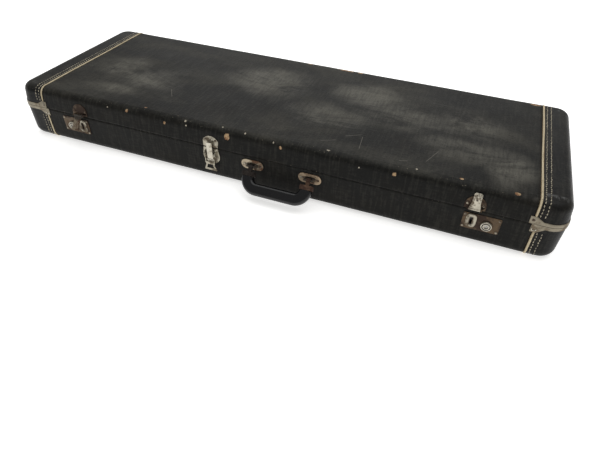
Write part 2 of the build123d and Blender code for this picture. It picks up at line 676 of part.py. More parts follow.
make_base_shell()
make_lid_shell()
make_interior()
make_hinges()
for lock_name in SIDES:
    make_lock_plate(lock_name)
    make_lock_inside(lock_name)
    make_lock_button(lock_name)
    make_hasp_plate(lock_name)
    make_hasp(lock_name)
make_draw_catch()
make_draw_plate()
make_draw_lever()
make_draw_hook()
for plate_name in SIDES:
    make_handle_fittings(plate_name)
make_grip()
make_rivets()

os.makedirs("parts", exist_ok=True)
for node_name, shape in nodes.items():
    export_step(solids_of(shape), f"parts/{node_name}.step")
print(len(nodes), "nodes written")
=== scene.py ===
import json
from math import atan, cos, pi, radians, sin, tan

import bmesh
import bpy
import numpy as np
from bpy.props import FloatProperty, FloatVectorProperty, PointerProperty
from bpy.types import Operator, Panel, PropertyGroup
from mathutils import Euler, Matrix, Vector

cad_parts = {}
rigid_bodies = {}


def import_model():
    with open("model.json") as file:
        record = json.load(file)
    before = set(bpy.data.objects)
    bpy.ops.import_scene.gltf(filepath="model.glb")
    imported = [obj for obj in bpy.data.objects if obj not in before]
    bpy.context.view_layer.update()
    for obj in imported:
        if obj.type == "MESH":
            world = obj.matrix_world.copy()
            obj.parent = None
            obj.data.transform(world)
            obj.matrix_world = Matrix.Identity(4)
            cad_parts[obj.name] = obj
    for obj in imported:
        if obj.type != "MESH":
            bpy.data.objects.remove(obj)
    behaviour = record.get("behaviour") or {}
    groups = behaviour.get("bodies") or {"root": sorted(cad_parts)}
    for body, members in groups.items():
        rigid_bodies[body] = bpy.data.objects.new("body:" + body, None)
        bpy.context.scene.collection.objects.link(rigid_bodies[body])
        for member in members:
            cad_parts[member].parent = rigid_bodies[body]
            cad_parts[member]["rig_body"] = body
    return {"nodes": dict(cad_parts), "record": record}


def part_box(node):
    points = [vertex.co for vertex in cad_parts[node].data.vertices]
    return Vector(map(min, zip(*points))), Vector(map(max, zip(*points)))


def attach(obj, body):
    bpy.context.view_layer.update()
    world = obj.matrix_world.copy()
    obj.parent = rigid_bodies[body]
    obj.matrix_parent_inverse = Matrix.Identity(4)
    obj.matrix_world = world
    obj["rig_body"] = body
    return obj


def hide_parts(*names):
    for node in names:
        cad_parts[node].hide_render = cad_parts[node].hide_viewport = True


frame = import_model()

bl_info = {
    "name": "Guitar Case Finish",
    "version": (1, 0, 0),
    "blender": (4, 5, 0),
    "location": "3D View > Sidebar > Guitar Case",
    "description": "Vinyl, piping, metalwork and plush lining of a hard guitar case",
    "category": "Object",
}

# Sizes read from the frame, in metres
MM = 0.001
NODES = frame["nodes"]
SLOT_OF = {part["node"]: part["material_slot"] for part in frame["record"]["subparts"]}
ENDS = {"left": -1, "right": 1}
HALVES = ("base", "lid")
HALF_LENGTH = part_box("base_end_cover_right")[1].x
HALF_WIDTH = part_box("base_covering")[1].y
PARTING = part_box("base_covering")[1].z
LID_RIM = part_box("lid_covering")[0].z
LID_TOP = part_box("lid_covering")[1].z


def middle_x(node):
    """Middle of a node along the case."""
    low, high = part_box(node)
    return (low.x + high.x) / 2


# Where each welt lies along the case, and how far its metal tab reaches up or down
PIPING_X = {(half, end): middle_x(f"{half}_piping_{end}") for half in HALVES for end in ENDS}
PIPING_HALF = 2 * MM
TAB_Z = {"base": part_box("base_binding_right")[0].z, "lid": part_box("lid_binding_right")[1].z}

# Shape of the shell, shared by every skin: each half leans in away from the parting line
CORNER_R = 29 * MM
BOTTOM_R = 17 * MM
TOP_R = 15 * MM
LID_SLOPE = 0.11
BASE_SLOPE = 0.05
SKIN = 1.2 * MM
LINING = 2.3 * MM
BASE_LEAN = atan(BASE_SLOPE)
LID_LEAN = atan(LID_SLOPE)


# --- profiles and grids ---------------------------------------------------------------------
def arc(centre, radius, start, stop, count):
    """Points on a circle: centre plus radius times (cos, sin) of evenly spaced angles in degrees."""
    a = np.radians(np.linspace(start, stop, count))
    return np.column_stack([centre[0] + radius * np.cos(a), centre[1] + radius * np.sin(a)])


def straight(start, stop, count):
    """Evenly spaced points from start to stop, the last one left out."""
    t = np.linspace(0, 1, count, endpoint=False)[:, None]
    return np.asarray(start) * (1 - t) + np.asarray(stop) * t


def leaning_half(rim_z, flat_z, slope, radius, inset):
    """Front half of a section as (y, z): along the leaning wall from the rim, round an edge of the given
    radius, to the flat. The edge's centre is one radius from both the wall and the flat."""
    up = 1 if flat_z > rim_z else -1
    lean = atan(slope)
    edge_y = -HALF_WIDTH + slope * abs(flat_z - rim_z)
    centre = (edge_y + radius * tan((pi / 2 - lean) / 2), flat_z - up * radius)
    start = 180 - up * np.degrees(lean)
    edge = arc(centre, radius - inset, start, 180 - up * 90, 15)
    foot = (-HALF_WIDTH + inset, rim_z)
    return np.vstack([straight(foot, edge[0], 12), edge])


def base_half(inset=0.0):
    """Front half of the base's section, pushed in by inset."""
    return leaning_half(PARTING, 0.0, BASE_SLOPE, BOTTOM_R, inset)


def lid_half(inset=0.0):
    """Front half of the lid's section, pushed in by inset."""
    return leaning_half(LID_RIM, LID_TOP, LID_SLOPE, TOP_R, inset)


SECTION = {"base": base_half, "lid": lid_half}


def base_front(x, v, out):
    """Point on the base's front wall: x along the case, v up the wall from the floor, out from it."""
    c, s = cos(BASE_LEAN), sin(BASE_LEAN)
    foot = -HALF_WIDTH + BASE_SLOPE * PARTING
    return np.stack([x + 0 * v, foot - s * v - c * out, c * v - s * out], axis=-1)


def lid_front(x, v, out):
    """Point on the lid's front wall: x along the case, v up the wall from the rim, out from it."""
    c, s = cos(LID_LEAN), sin(LID_LEAN)
    return np.stack([x + 0 * v, s * v - c * out - HALF_WIDTH, LID_RIM + c * v + s * out], axis=-1)


def whole_section(half, flat_count=40):
    """A half section, the flat between, and the half's mirror image."""
    flat = straight(half[-1], half[-1] * (-1, 1), flat_count)[1:]
    return np.vstack([half, flat, half[::-1] * (-1, 1)])


def resampled(path, step):
    """Points evenly spaced along a path, about step apart, by its running length."""
    length = np.concatenate([[0], np.cumsum(np.linalg.norm(np.diff(path, axis=0), axis=1))])
    count = max(2, int(round(length[-1] / step)) + 1)
    at = np.linspace(0, length[-1], count)
    return np.column_stack([np.interp(at, length, path[:, k]) for k in range(path.shape[1])])


def ripple(points, size):
    """A smooth uneven height: three sine waves of different directions, between -size and size."""
    x, y, z = points[..., 0], points[..., 1], points[..., 2]
    waves = np.sin(31 * x + 17 * y + 3) + np.sin(53 * y - 23 * x + 40 * z) + np.sin(71 * x + 61 * z + 1)
    return size * waves / 3


def new_piece(name, verts, faces, smooth=True):
    """A linked object from vertex and face arrays, with its place in its mesh."""
    mesh = bpy.data.meshes.new(name)
    mesh.from_pydata(np.asarray(verts).tolist(), [], [list(map(int, f)) for f in faces])
    bm = bmesh.new()
    bm.from_mesh(mesh)
    bmesh.ops.remove_doubles(bm, verts=bm.verts, dist=1e-6)
    bmesh.ops.dissolve_degenerate(bm, dist=1e-7, edges=bm.edges)
    bmesh.ops.recalc_face_normals(bm, faces=bm.faces)
    bm.to_mesh(mesh)
    bm.free()
    mesh.polygons.foreach_set("use_smooth", [smooth] * len(mesh.polygons))
    obj = bpy.data.objects.new(name, mesh)
    bpy.context.scene.collection.objects.link(obj)
    return obj


def apply_modifier(obj, kind, **settings):
    """Run one modifier on a piece and keep its result as the piece's mesh."""
    modifier = obj.modifiers.new(kind.lower(), kind)
    for key, value in settings.items():
        setattr(modifier, key, value)
    bpy.context.view_layer.update()
    shown = obj.evaluated_get(bpy.context.evaluated_depsgraph_get())
    mesh = bpy.data.meshes.new_from_object(shown)
    obj.modifiers.clear()
    obj.data = mesh


def grid_faces(rows, cols, closed=False):
    """Quads of a grid of rows by cols points, joined round in the second direction when closed."""
    r, c = np.meshgrid(np.arange(rows - 1), np.arange(cols if closed else cols - 1), indexing="ij")
    nxt = (c + 1) % cols
    quads = np.stack([r * cols + c, r * cols + nxt, (r + 1) * cols + nxt, (r + 1) * cols + c], axis=-1)
    return quads.reshape(-1, 4)


def wall_grid(name, outer, inner):
    """A closed thin wall: an outer grid and an inner grid of points, joined along all four borders."""
    rows, cols = outer.shape[:2]
    count = rows * cols
    faces = grid_faces(rows, cols)
    top, right = np.arange(cols), np.arange(1, rows) * cols + cols - 1
    bottom, left = (rows - 1) * cols + np.arange(cols - 2, -1, -1), np.arange(rows - 2, 0, -1) * cols
    ring = np.concatenate([top, right, bottom, left])
    after = np.roll(ring, -1)
    rim = np.stack([ring, ring + count, after + count, after], axis=-1)
    every = np.vstack([faces, faces[:, ::-1] + count, rim])
    verts = np.vstack([outer.reshape(-1, 3), inner.reshape(-1, 3)])
    return new_piece(name, verts, every)


def tube(name, path, radius, sides=16):
    """A round cord: circles of the given radii in planes square to the path, with closed ends.
    Each circle is centre plus radius times (cos a times normal plus sin a times binormal)."""
    path = np.asarray(path)
    radius = np.broadcast_to(radius, len(path))[:, None, None]
    along = np.gradient(path, axis=0)
    along /= np.linalg.norm(along, axis=1)[:, None]
    side = np.cross(along, (1.0, 0.0, 0.0))
    side /= np.linalg.norm(side, axis=1)[:, None]
    other = np.cross(along, side)
    a = np.linspace(0, 2 * pi, sides, endpoint=False)[None, :, None]
    rings = path[:, None] + radius * (np.cos(a) * side[:, None] + np.sin(a) * other[:, None])
    faces = [list(f) for f in grid_faces(len(path), sides, closed=True)]
    faces.append(list(range(sides)))
    faces.append(list(range((len(path) - 1) * sides, len(path) * sides)))
    return new_piece(name, rings.reshape(-1, 3), faces)


# --- shader parts ---------------------------------------------------------------------------
class Shading:
    """Adds and links nodes in one node tree."""

    def __init__(self, tree):
        self.tree = tree

    def add(self, kind, inputs=None, **settings):
        node = self.tree.nodes.new(kind)
        for key, value in settings.items():
            setattr(node, key, value)
        for key, value in (inputs or {}).items():
            self.feed(value, node.inputs[key])
        return node

    def feed(self, value, socket):
        if isinstance(value, bpy.types.NodeSocket):
            self.tree.links.new(value, socket)
        else:
            socket.default_value = value

    def noise(self, vector, scale, detail=3.0, rough=0.5, distortion=0.0):
        inputs = {"Vector": vector, "Scale": scale, "Detail": detail, "Roughness": rough}
        inputs["Distortion"] = distortion
        return self.add("ShaderNodeTexNoise", inputs).outputs[0]

    def math(self, how, a, b=0.0, clamp=False):
        return self.add("ShaderNodeMath", {0: a, 1: b}, operation=how, use_clamp=clamp).outputs[0]

    def ramp(self, value, low, high, out_low=0.0, out_high=1.0):
        inputs = {"Value": value, "From Min": low, "From Max": high, "To Min": out_low, "To Max": out_high}
        return self.add("ShaderNodeMapRange", inputs, interpolation_type="SMOOTHSTEP").outputs[0]

    def stretch(self, vector, scale, turn=(0, 0, 0)):
        inputs = {"Vector": vector, "Scale": scale, "Rotation": turn}
        return self.add("ShaderNodeMapping", inputs).outputs[0]

    def vector(self, how, a, b, output=0):
        return self.add("ShaderNodeVectorMath", {0: a, 1: b}, operation=how).outputs[output]

    def mix(self, factor, a, b):
        node = self.add("ShaderNodeMix", data_type="RGBA")
        self.feed(factor, node.inputs[0])
        self.feed(a, node.inputs[6])
        self.feed(b, node.inputs[7])
        return node.outputs[2]

    def place(self):
        return self.add("ShaderNodeTexCoord").outputs["Object"]

    def facing_up(self):
        """Object-space normal's Z, so that it turns with the piece."""
        normal = self.add("ShaderNodeTexCoord").outputs["Normal"]
        return self.add("ShaderNodeSeparateXYZ", {0: normal}).outputs[2]

    def group(self, name, **inputs):
        node = self.add("ShaderNodeGroup", node_tree=bpy.data.node_groups[name])
        for key, value in inputs.items():
            self.feed(value, node.inputs[key.replace("_", " ")])
        return node.outputs


def node_group(name, inputs, outputs):
    """An empty shader group with named sockets, its wiring helper, input sockets and output node."""
    tree = bpy.data.node_groups.new(name, "ShaderNodeTree")
    for label, default in inputs.items():
        kind = "NodeSocketVector" if default is None else "NodeSocketFloat"
        socket = tree.interface.new_socket(name=label, in_out="INPUT", socket_type=kind)
        if default is not None:
            socket.default_value = default
    for label in outputs:
        tree.interface.new_socket(name=label, in_out="OUTPUT", socket_type="NodeSocketFloat")
    n = Shading(tree)
    return n, n.add("NodeGroupInput").outputs, n.add("NodeGroupOutput").inputs


def build_groups():
    """The effects that several finishes share."""
    n, i, o = node_group("Leather Grain", {"Place": None, "Cells": 700.0, "Fineness": 0.5},
                         ["Height", "Crease"])
    warped = n.add("ShaderNodeTexVoronoi", {"Vector": i["Place"], "Scale": i["Cells"]},
                   feature="SMOOTH_F1").outputs["Distance"]
    fine = n.noise(i["Place"], n.math("MULTIPLY", i["Cells"], 2.2), 2.0)
    n.feed(n.math("ADD", warped, n.math("MULTIPLY", fine, i["Fineness"])), o["Height"])
    n.feed(n.ramp(warped, 0.45, 0.8), o["Crease"])

    n, i, o = node_group("Settled Dust", {"Place": None, "Amount": 0.5, "Patch": 7.0, "Facing": 1.0},
                         ["Mask"])
    wide = n.noise(i["Place"], i["Patch"], 5.0, 0.62, 0.4)
    specks = n.noise(i["Place"], n.math("MULTIPLY", i["Patch"], 22.0), 4.0, 0.7)
    cloud = n.ramp(wide, 0.42, 0.72)
    film = n.math("MULTIPLY", cloud, n.ramp(specks, 0.3, 0.75, 0.55, 1.0))
    n.feed(n.math("MULTIPLY", n.math("MULTIPLY", film, i["Facing"]), i["Amount"], True), o["Mask"])

    n, i, o = node_group("Scuffs", {"Place": None, "Amount": 0.5, "Length": 9.0}, ["Mask"])
    total = None
    for turn, thin in ((0.35, 160.0), (-0.5, 210.0), (1.25, 180.0)):
        lines = n.noise(n.stretch(i["Place"], (1.0, thin / 9.0, 1.0), (0, 0, turn)), i["Length"], 2.0, 0.5)
        patch = n.noise(i["Place"], 11.0 + thin / 60.0, 2.0)
        line = n.math("MULTIPLY", n.ramp(lines, 0.735, 0.80), n.ramp(patch, 0.5, 0.62))
        total = line if total is None else n.math("MAXIMUM", total, line)
    n.feed(n.math("MULTIPLY", total, i["Amount"], True), o["Mask"])

    n, i, o = node_group("Tarnish", {"Place": None, "Amount": 0.5, "Spot": 160.0}, ["Mask", "Pits"])
    broad = n.noise(i["Place"], n.math("MULTIPLY", i["Spot"], 0.35), 4.0, 0.6)
    spots = n.noise(i["Place"], i["Spot"], 5.0, 0.7)
    both = n.math("MULTIPLY", n.ramp(broad, 0.3, 0.7), 1.0)
    low = n.math("SUBTRACT", 0.78, n.math("MULTIPLY", i["Amount"], 0.55))
    mixed = n.math("ADD", n.math("MULTIPLY", spots, 0.65), n.math("MULTIPLY", both, 0.35))
    n.feed(n.add("ShaderNodeMapRange", {"Value": mixed, "From Min": low,
                                        "From Max": n.math("ADD", low, 0.16)}).outputs[0], o["Mask"])
    n.feed(n.noise(i["Place"], n.math("MULTIPLY", i["Spot"], 6.0), 3.0), o["Pits"])


def material(name, **constants):
    """A material with a Principled shader whose constant values are set on its own sockets."""
    mat = bpy.data.materials.new(name)
    mat.use_nodes = True
    n = Shading(mat.node_tree)
    shader = mat.node_tree.nodes["Principled BSDF"]
    for key, value in constants.items():
        shader.inputs[key.replace("_", " ")].default_value = value
    return mat, n, shader.inputs


def bump(n, height, distance, strength=1.0):
    """A Bump node's normal, with its height in metres."""
    inputs = {"Height": height, "Distance": distance, "Strength": strength}
    return n.add("ShaderNodeBump", inputs).outputs[0]


def spot_mask(n, place, spots, ragged, cells=230.0, faint=1.05, full=0.8):
    """1 inside any of some ragged spots. Each spot is its centre and its three half-sizes, in metres:
    the length of (place minus centre) over half-sizes, plus noise, runs from faint (0) to full (1)."""
    total = None
    wobble = n.math("MULTIPLY", n.math("SUBTRACT", n.noise(place, cells, 3.0), 0.5), ragged)
    for centre, size in spots:
        scaled = n.vector("DIVIDE", n.vector("SUBTRACT", place, centre), size)
        far = n.add("ShaderNodeVectorMath", {0: scaled}, operation="LENGTH").outputs["Value"]
        inside = n.ramp(n.math("ADD", far, wobble), faint, full)
        total = inside if total is None else n.math("MAXIMUM", total, inside)
    return total


def worn(x, y, z, half_x, half_y, half_z=9):
    """One spot on the shell, such as a worn place or a fold given a painted highlight: its middle and its
    half-sizes along, across and up the case.
    """
    return (x * MM, y * MM, z * MM), (half_x * MM, half_y * MM, half_z * MM)


# Places where the vinyl is worn through to the board, in millimetres
WORN_SPOTS = [
    worn(-53, -172, 94.3, 4.8, 12, 6.5),
    worn(-178, -172, 94, 2.6, 9, 2.8),
    worn(-225, -156, 107, 3, 1.6),
    worn(-258, -170, 100, 3.0, 9, 2.6),
    worn(47, -172, 96.5, 2.8, 9, 3.0),
    worn(242, -172, 96, 3.2, 9, 3.0),
    worn(342, -158, 107, 3.4, 2.4),
    worn(425, -163, 106, 4.6, 2.6),
    worn(62, 158, 107, 18, 3.4),
    worn(93, 158, 107, 7, 3.0),
    worn(444, 156, 107, 9, 3.4),
    worn(-20, 158, 107, 5, 2.0),
]
# Small pale chips and flecks of old paint
FLECKS = [
    worn(-137, -167, 104, 1.9, 4, 1.5),
    worn(-134, -171, 98, 1.8, 4, 1.3),
    worn(33, -169, 102, 1.2, 4, 1.3),
    worn(-65, -162, 106, 1.6, 1.2),
    worn(-21, -165, 105, 1.5, 3, 1.3),
    worn(184, -172, 94, 1.2, 5, 1.3),
    worn(273, -159, 107, 1.8, 1.6),
    worn(128, -161, 106, 3.2, 1.1),
    worn(-300, -172, 99, 1.5, 5, 1.2),
]
# Dustier patches of the lid's top
DUSTY_SPOTS = [
    worn(-361, -16, 107, 62, 60),
    worn(-285, -50, 107, 75, 55),
    worn(-330, -110, 107, 60, 22),
    worn(95, -45, 107, 75, 55),
    worn(138, 60, 107, 80, 48),
    worn(220, 10, 107, 80, 60),
    worn(340, 28, 107, 75, 60),
    worn(415, -110, 107, 40, 55),
    worn(330, -70, 107, 80, 40),
    worn(-60, 40, 107, 90, 70),
]
# Long thin scratches across the lid's top: (x, y) of each end
SCRATCHES = [
    ((104, -138), (130, -125)),
    ((138, -107), (165, -91)),
    ((168, -96), (173, -139)),
    ((241, -146), (255, -141)),
    ((282, -133), (297, -90)),
    ((-225, -70), (-205, -100)),
]


def scratch_mask(n, place, lines, width):
    """1 inside any thin line on the lid's top: how far along and how far across each line a place lies,
    over the line's half-length and the scratch's half-width, the larger of the two compared with one."""
    total = None
    for start, end in lines:
        first, last = Vector((*start, 0)) * MM, Vector((*end, 0)) * MM
        along = (last - first) / 2
        across = Vector((-along.y, along.x, 0)).normalized() / width
        away = n.vector("SUBTRACT", place, (first + last) / 2)
        parts = [n.math("ABSOLUTE", n.vector("DOT_PRODUCT", away, direction, "Value"))
                 for direction in (along / along.length_squared, across)]
        inside = n.ramp(n.math("MAXIMUM", *parts), 1.05, 0.75)
        total = inside if total is None else n.math("MAXIMUM", total, inside)
    return total


def vinyl_material(name, tone, dust, gloss, lid_wear=False, crease_highlight_spots=()):
    """Textured vinyl: grain, woven streaks, settled dust, scuffs, rubbed edges and places worn through, with
    painted light that makes upward faces lighter and painted highlights along any listed fold ridges.
    """
    look = bpy.context.scene.case_look
    mat, n, out = material(name, Specular_IOR_Level=0.10)
    place = n.place()
    grain = n.group("Leather Grain", Place=place, Cells=430.0, Fineness=0.6)
    up = n.ramp(n.facing_up(), 0.45, 0.98)
    streaky = n.stretch(place, (0.45, 1.0, 1.0), (0, 0, 0.22))
    film = n.group("Settled Dust", Place=streaky, Amount=dust, Patch=11.0, Facing=up)["Mask"]
    grime = n.group("Settled Dust", Place=place, Amount=0.7, Patch=15.0, Facing=1.0)["Mask"]
    scuffs = n.group("Scuffs", Place=place, Amount=0.7, Length=10.0)["Mask"]
    edge = n.add("ShaderNodeAttribute", attribute_name="rub").outputs["Fac"]
    broken = n.noise(place, 75.0, 5.0, 0.72)
    rubbed = n.math("MULTIPLY", edge, n.ramp(broken, 0.48, 0.72))
    weave = n.noise(n.stretch(place, (1.0, 0.12, 0.12)), 260.0, 3.0, 0.6)
    threads = n.noise(n.stretch(place, (0.2, 1.0, 1.0)), 300.0, 2.0, 0.6)
    brown = (tone[0] * 2.2, tone[1] * 1.8, tone[2] * 1.35, 1)
    pale = (0.122, 0.116, 0.096, 1)
    # Upward faces are mixed towards a paler tone: painted light from above, so the top is lighter than the
    # walls
    colour = n.mix(n.math("MULTIPLY", up, 0.9), (*tone, 1), (*(c * 1.5 for c in tone), 1))
    colour = n.mix(n.math("MULTIPLY", grime, 0.6), colour, brown)
    colour = n.mix(n.math("MULTIPLY", film, 0.55), colour, pale)
    if lid_wear:
        cloud = n.noise(streaky, 17.0, 6.0, 0.68, 0.6)
        patches = spot_mask(n, place, DUSTY_SPOTS, 1.4, 9.0, 1.25, 0.2)
        dusty = n.math("MULTIPLY", patches, n.ramp(cloud, 0.30, 0.60))
        dusty = n.math("MULTIPLY", dusty, n.ramp(weave, 0.25, 0.65, 0.6, 1.0))
        colour = n.mix(n.math("MULTIPLY", dusty, 0.9), colour, pale)
    both_ways = n.math("ADD", weave, n.math("MULTIPLY", threads, 0.5))
    colour = n.mix(n.math("MULTIPLY", n.ramp(both_ways, 0.68, 0.95), 0.09), colour, pale)
    colour = n.mix(n.math("MULTIPLY", grain["Crease"], 0.35), colour, tuple(c * 0.4 for c in tone) + (1,))
    colour = n.mix(n.math("MULTIPLY", rubbed, 0.55), colour, (0.060, 0.056, 0.047, 1))
    specks = n.math("MULTIPLY", edge, n.ramp(n.noise(place, 330.0, 2.0), 0.70, 0.73))
    colour = n.mix(n.math("MULTIPLY", specks, 0.7), colour, (0.25, 0.22, 0.16, 1))
    colour = n.mix(n.math("MULTIPLY", scuffs, 0.5), colour, (0.12, 0.118, 0.105, 1))
    height = grain["Height"]
    if crease_highlight_spots:
        shine = spot_mask(n, place, crease_highlight_spots, 1.6, 60.0, 1.2, 0.2)
        folds_and_sheen = n.noise(n.stretch(place, (1.0, 0.35, 1.6)), 85.0, 3.0, 0.6)
        ridge_and_highlight = n.math("MULTIPLY", shine, n.ramp(folds_and_sheen, 0.46, 0.66))
        # Fold ridges are painted paler: a painted highlight where light catches the folds, beside their real
        # bump
        colour = n.mix(n.math("MULTIPLY", ridge_and_highlight, 0.75), colour, (0.20, 0.20, 0.195, 1))
        height = n.math("ADD", height, n.math("MULTIPLY", ridge_and_highlight, 2.2))
    if lid_wear:
        through = spot_mask(n, place, WORN_SPOTS, 1.3)
        fleck = spot_mask(n, place, FLECKS, 0.8)
        stained = n.ramp(n.noise(place, 260.0, 3.0), 0.45, 0.62)
        board = n.mix(stained, tuple(look.board), (0.20, 0.10, 0.05, 1))
        scratched = n.math("MULTIPLY", scratch_mask(n, place, SCRATCHES, 0.5 * MM), 0.6)
        colour = n.mix(scratched, colour, (0.17, 0.16, 0.135, 1))
        colour = n.mix(through, colour, board)
        colour = n.mix(fleck, colour, (0.40, 0.36, 0.28, 1))
        height = n.math("SUBTRACT", height, n.math("MULTIPLY", through, 3.0))
    n.feed(colour, out["Base Color"])
    rough = n.math("ADD", gloss, n.math("MULTIPLY", film, 0.2))
    rough = n.math("ADD", rough, n.math("MULTIPLY", n.noise(place, 18.0, 3.0), 0.14), True)
    n.feed(rough, out["Roughness"])
    n.feed(bump(n, n.math("ADD", height, n.math("MULTIPLY", weave, 0.4)), 0.3 * MM, 0.6), out["Normal"])
    return mat


def metal_material(name, clean, stain, amount, rough, spot=160.0, scored=0.0, grime_and_shade_spots=()):
    """Plated metal with tarnish, pits, near-black grime in the given spots or wherever the piece's grime
    attribute says (painted shade instead in the slots of the right hasp and the lock bosses), and fine
    slanting lines where it is scored."""
    mat, n, out = material(name)
    place = n.place()
    tarnish = n.group("Tarnish", Place=place, Amount=amount, Spot=spot)
    haze = n.noise(place, 90.0, 3.0)
    bright = n.mix(haze, (*clean, 1), tuple(c * 0.62 for c in clean) + (1,))
    grime = n.add("ShaderNodeAttribute", attribute_name="grime").outputs["Fac"]
    # Near-black in the given spots: grime on most pieces, painted shade in the right hasp's slot
    if grime_and_shade_spots:
        grime = n.math("MULTIPLY", spot_mask(n, place, grime_and_shade_spots, 0.9, 300.0, 1.1, 0.7), 0.9)
    plated = n.mix(tarnish["Mask"], bright, (*stain, 1))
    n.feed(n.mix(grime, plated, (0.012, 0.009, 0.007, 1)), out["Base Color"])
    dull = n.math("MAXIMUM", grime, tarnish["Mask"])
    n.feed(n.math("SUBTRACT", 1.0, n.math("MULTIPLY", dull, 0.75)), out["Metallic"])
    worn = n.math("ADD", rough, n.math("MULTIPLY", tarnish["Mask"], 0.35))
    n.feed(n.math("ADD", worn, n.math("MULTIPLY", tarnish["Pits"], 0.12)), out["Roughness"])
    height = n.math("ADD", tarnish["Pits"], n.math("MULTIPLY", tarnish["Mask"], 0.6))
    if scored:
        lines = n.add("ShaderNodeTexWave", {"Vector": n.stretch(place, (1, 1, 1), (0, 0.6, 0)),
                                            "Scale": scored, "Distortion": 1.2}).outputs[1]
        height = n.math("ADD", height, n.math("MULTIPLY", lines, 0.8))
    n.feed(bump(n, height, 0.12 * MM, 0.6), out["Normal"])
    return mat


def plush_material(look):
    """Short-pile plush: a clumped nap that is paler where the fibres catch the light."""
    mat, n, out = material("plush lining", Roughness=0.92, Sheen_Weight=0.6, Sheen_Roughness=0.45)
    out["Sheen Tint"].default_value = (1.0, 0.62, 0.32, 1)
    place = n.place()
    clumps = n.noise(place, 55.0, 4.0, 0.6, 0.8)
    pile = n.noise(n.stretch(place, (1.0, 0.55, 1.0)), 1500.0, 3.0, 0.6)
    deep = tuple(c * 0.55 for c in look.plush)
    colour = n.mix(n.ramp(clumps, 0.3, 0.7), (*deep[:3], 1), tuple(look.plush))
    n.feed(n.mix(n.math("MULTIPLY", pile, 0.35), colour, (0.62, 0.27, 0.08, 1)), out["Base Color"])
    height = n.math("ADD", n.math("MULTIPLY", pile, 0.6), n.math("MULTIPLY", clumps, 1.4))
    n.feed(bump(n, height, 0.7 * MM, 0.7), out["Normal"])
    return mat


def piping_material(look):
    """Aged woven welt: cream with grime in patches and a fine twist."""
    mat, n, out = material("cream welt", Roughness=0.62, Specular_IOR_Level=0.3)
    place = n.place()
    grime = n.ramp(n.noise(place, 42.0, 5.0, 0.65), 0.45, 0.75)
    specks = n.ramp(n.noise(place, 380.0, 3.0), 0.62, 0.7)
    colour = n.mix(n.math("MULTIPLY", grime, 0.6), tuple(look.welt), (0.26, 0.20, 0.11, 1))
    n.feed(n.mix(n.math("MULTIPLY", specks, 0.6), colour, (0.10, 0.075, 0.04, 1)), out["Base Color"])
    twist = n.add("ShaderNodeTexWave", {"Vector": n.stretch(place, (1, 1, 1), (0.7, 0.5, 0.3)),
                                        "Scale": 260.0, "Distortion": 0.5}).outputs[1]
    n.feed(bump(n, twist, 0.15 * MM, 0.5), out["Normal"])
    return mat


def thread_material():
    """Waxed stitching thread, partly greyed."""
    mat, n, out = material("waxed thread", Roughness=0.6)
    place = n.place()
    grey = n.ramp(n.noise(place, 70.0, 4.0), 0.4, 0.68)
    n.feed(n.mix(grey, (0.52, 0.46, 0.34, 1), (0.17, 0.15, 0.11, 1)), out["Base Color"])
    n.feed(bump(n, n.noise(place, 2500.0, 2.0), 0.1 * MM, 0.5), out["Normal"])
    return mat


def wood_material():
    """Plywood edge and face: thin plies across the height and grain along the length."""
    mat, n, out = material("plywood", Roughness=0.6)
    place = n.place()
    grain = n.noise(n.stretch(place, (3.0, 60.0, 60.0)), 6.0, 5.0, 0.6, 0.5)
    colour = n.mix(n.ramp(grain, 0.35, 0.65), (0.30, 0.17, 0.075, 1), (0.46, 0.30, 0.15, 1))
    n.feed(colour, out["Base Color"])
    n.feed(bump(n, grain, 0.3 * MM, 0.5), out["Normal"])
    return mat


def moulded_material():
    """Moulded black handle: satin, with handling shine and fine scratches."""
    mat, n, out = material("moulded handle", Specular_IOR_Level=0.3, Coat_Roughness=0.12)
    out["Coat Weight"].default_value = 0.12
    place = n.place()
    scuffs = n.group("Scuffs", Place=place, Amount=0.5, Length=40.0)["Mask"]
    tone = n.mix(n.noise(place, 60.0, 4.0), (0.003, 0.003, 0.0035, 1), (0.007, 0.007, 0.0075, 1))
    n.feed(n.mix(scuffs, tone, (0.03, 0.03, 0.03, 1)), out["Base Color"])
    n.feed(n.math("ADD", 0.16, n.math("MULTIPLY", n.noise(place, 45.0, 4.0), 0.16)), out["Roughness"])
    n.feed(bump(n, n.noise(place, 900.0, 3.0), 0.12 * MM, 0.35), out["Normal"])
    return mat


def finish_of(name):
    """The material of a name, made once."""
    return bpy.data.materials[name]


def dress(obj, name):
    """Give a piece one finish."""
    obj.data.materials.clear()
    obj.data.materials.append(finish_of(name))
    return obj


def fit(obj, body, slot, finish, *nodes):
    """Finish a new piece: its material, body and the CAD nodes that it stands for. The slot argument is not
    used.
    """
    dress(obj, finish)
    if nodes:
        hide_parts(*nodes)
    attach(obj, body)
    return obj


def rub_attribute(obj, value):
    """Store how exposed to rubbing each vertex is, from 0 to 1."""
    co = np.empty(len(obj.data.vertices) * 3, np.float32)
    obj.data.vertices.foreach_get("co", co)
    attribute = obj.data.attributes.new("rub", "FLOAT", "POINT")
    attribute.data.foreach_set("value", value(co.reshape(-1, 3)).astype(np.float32))


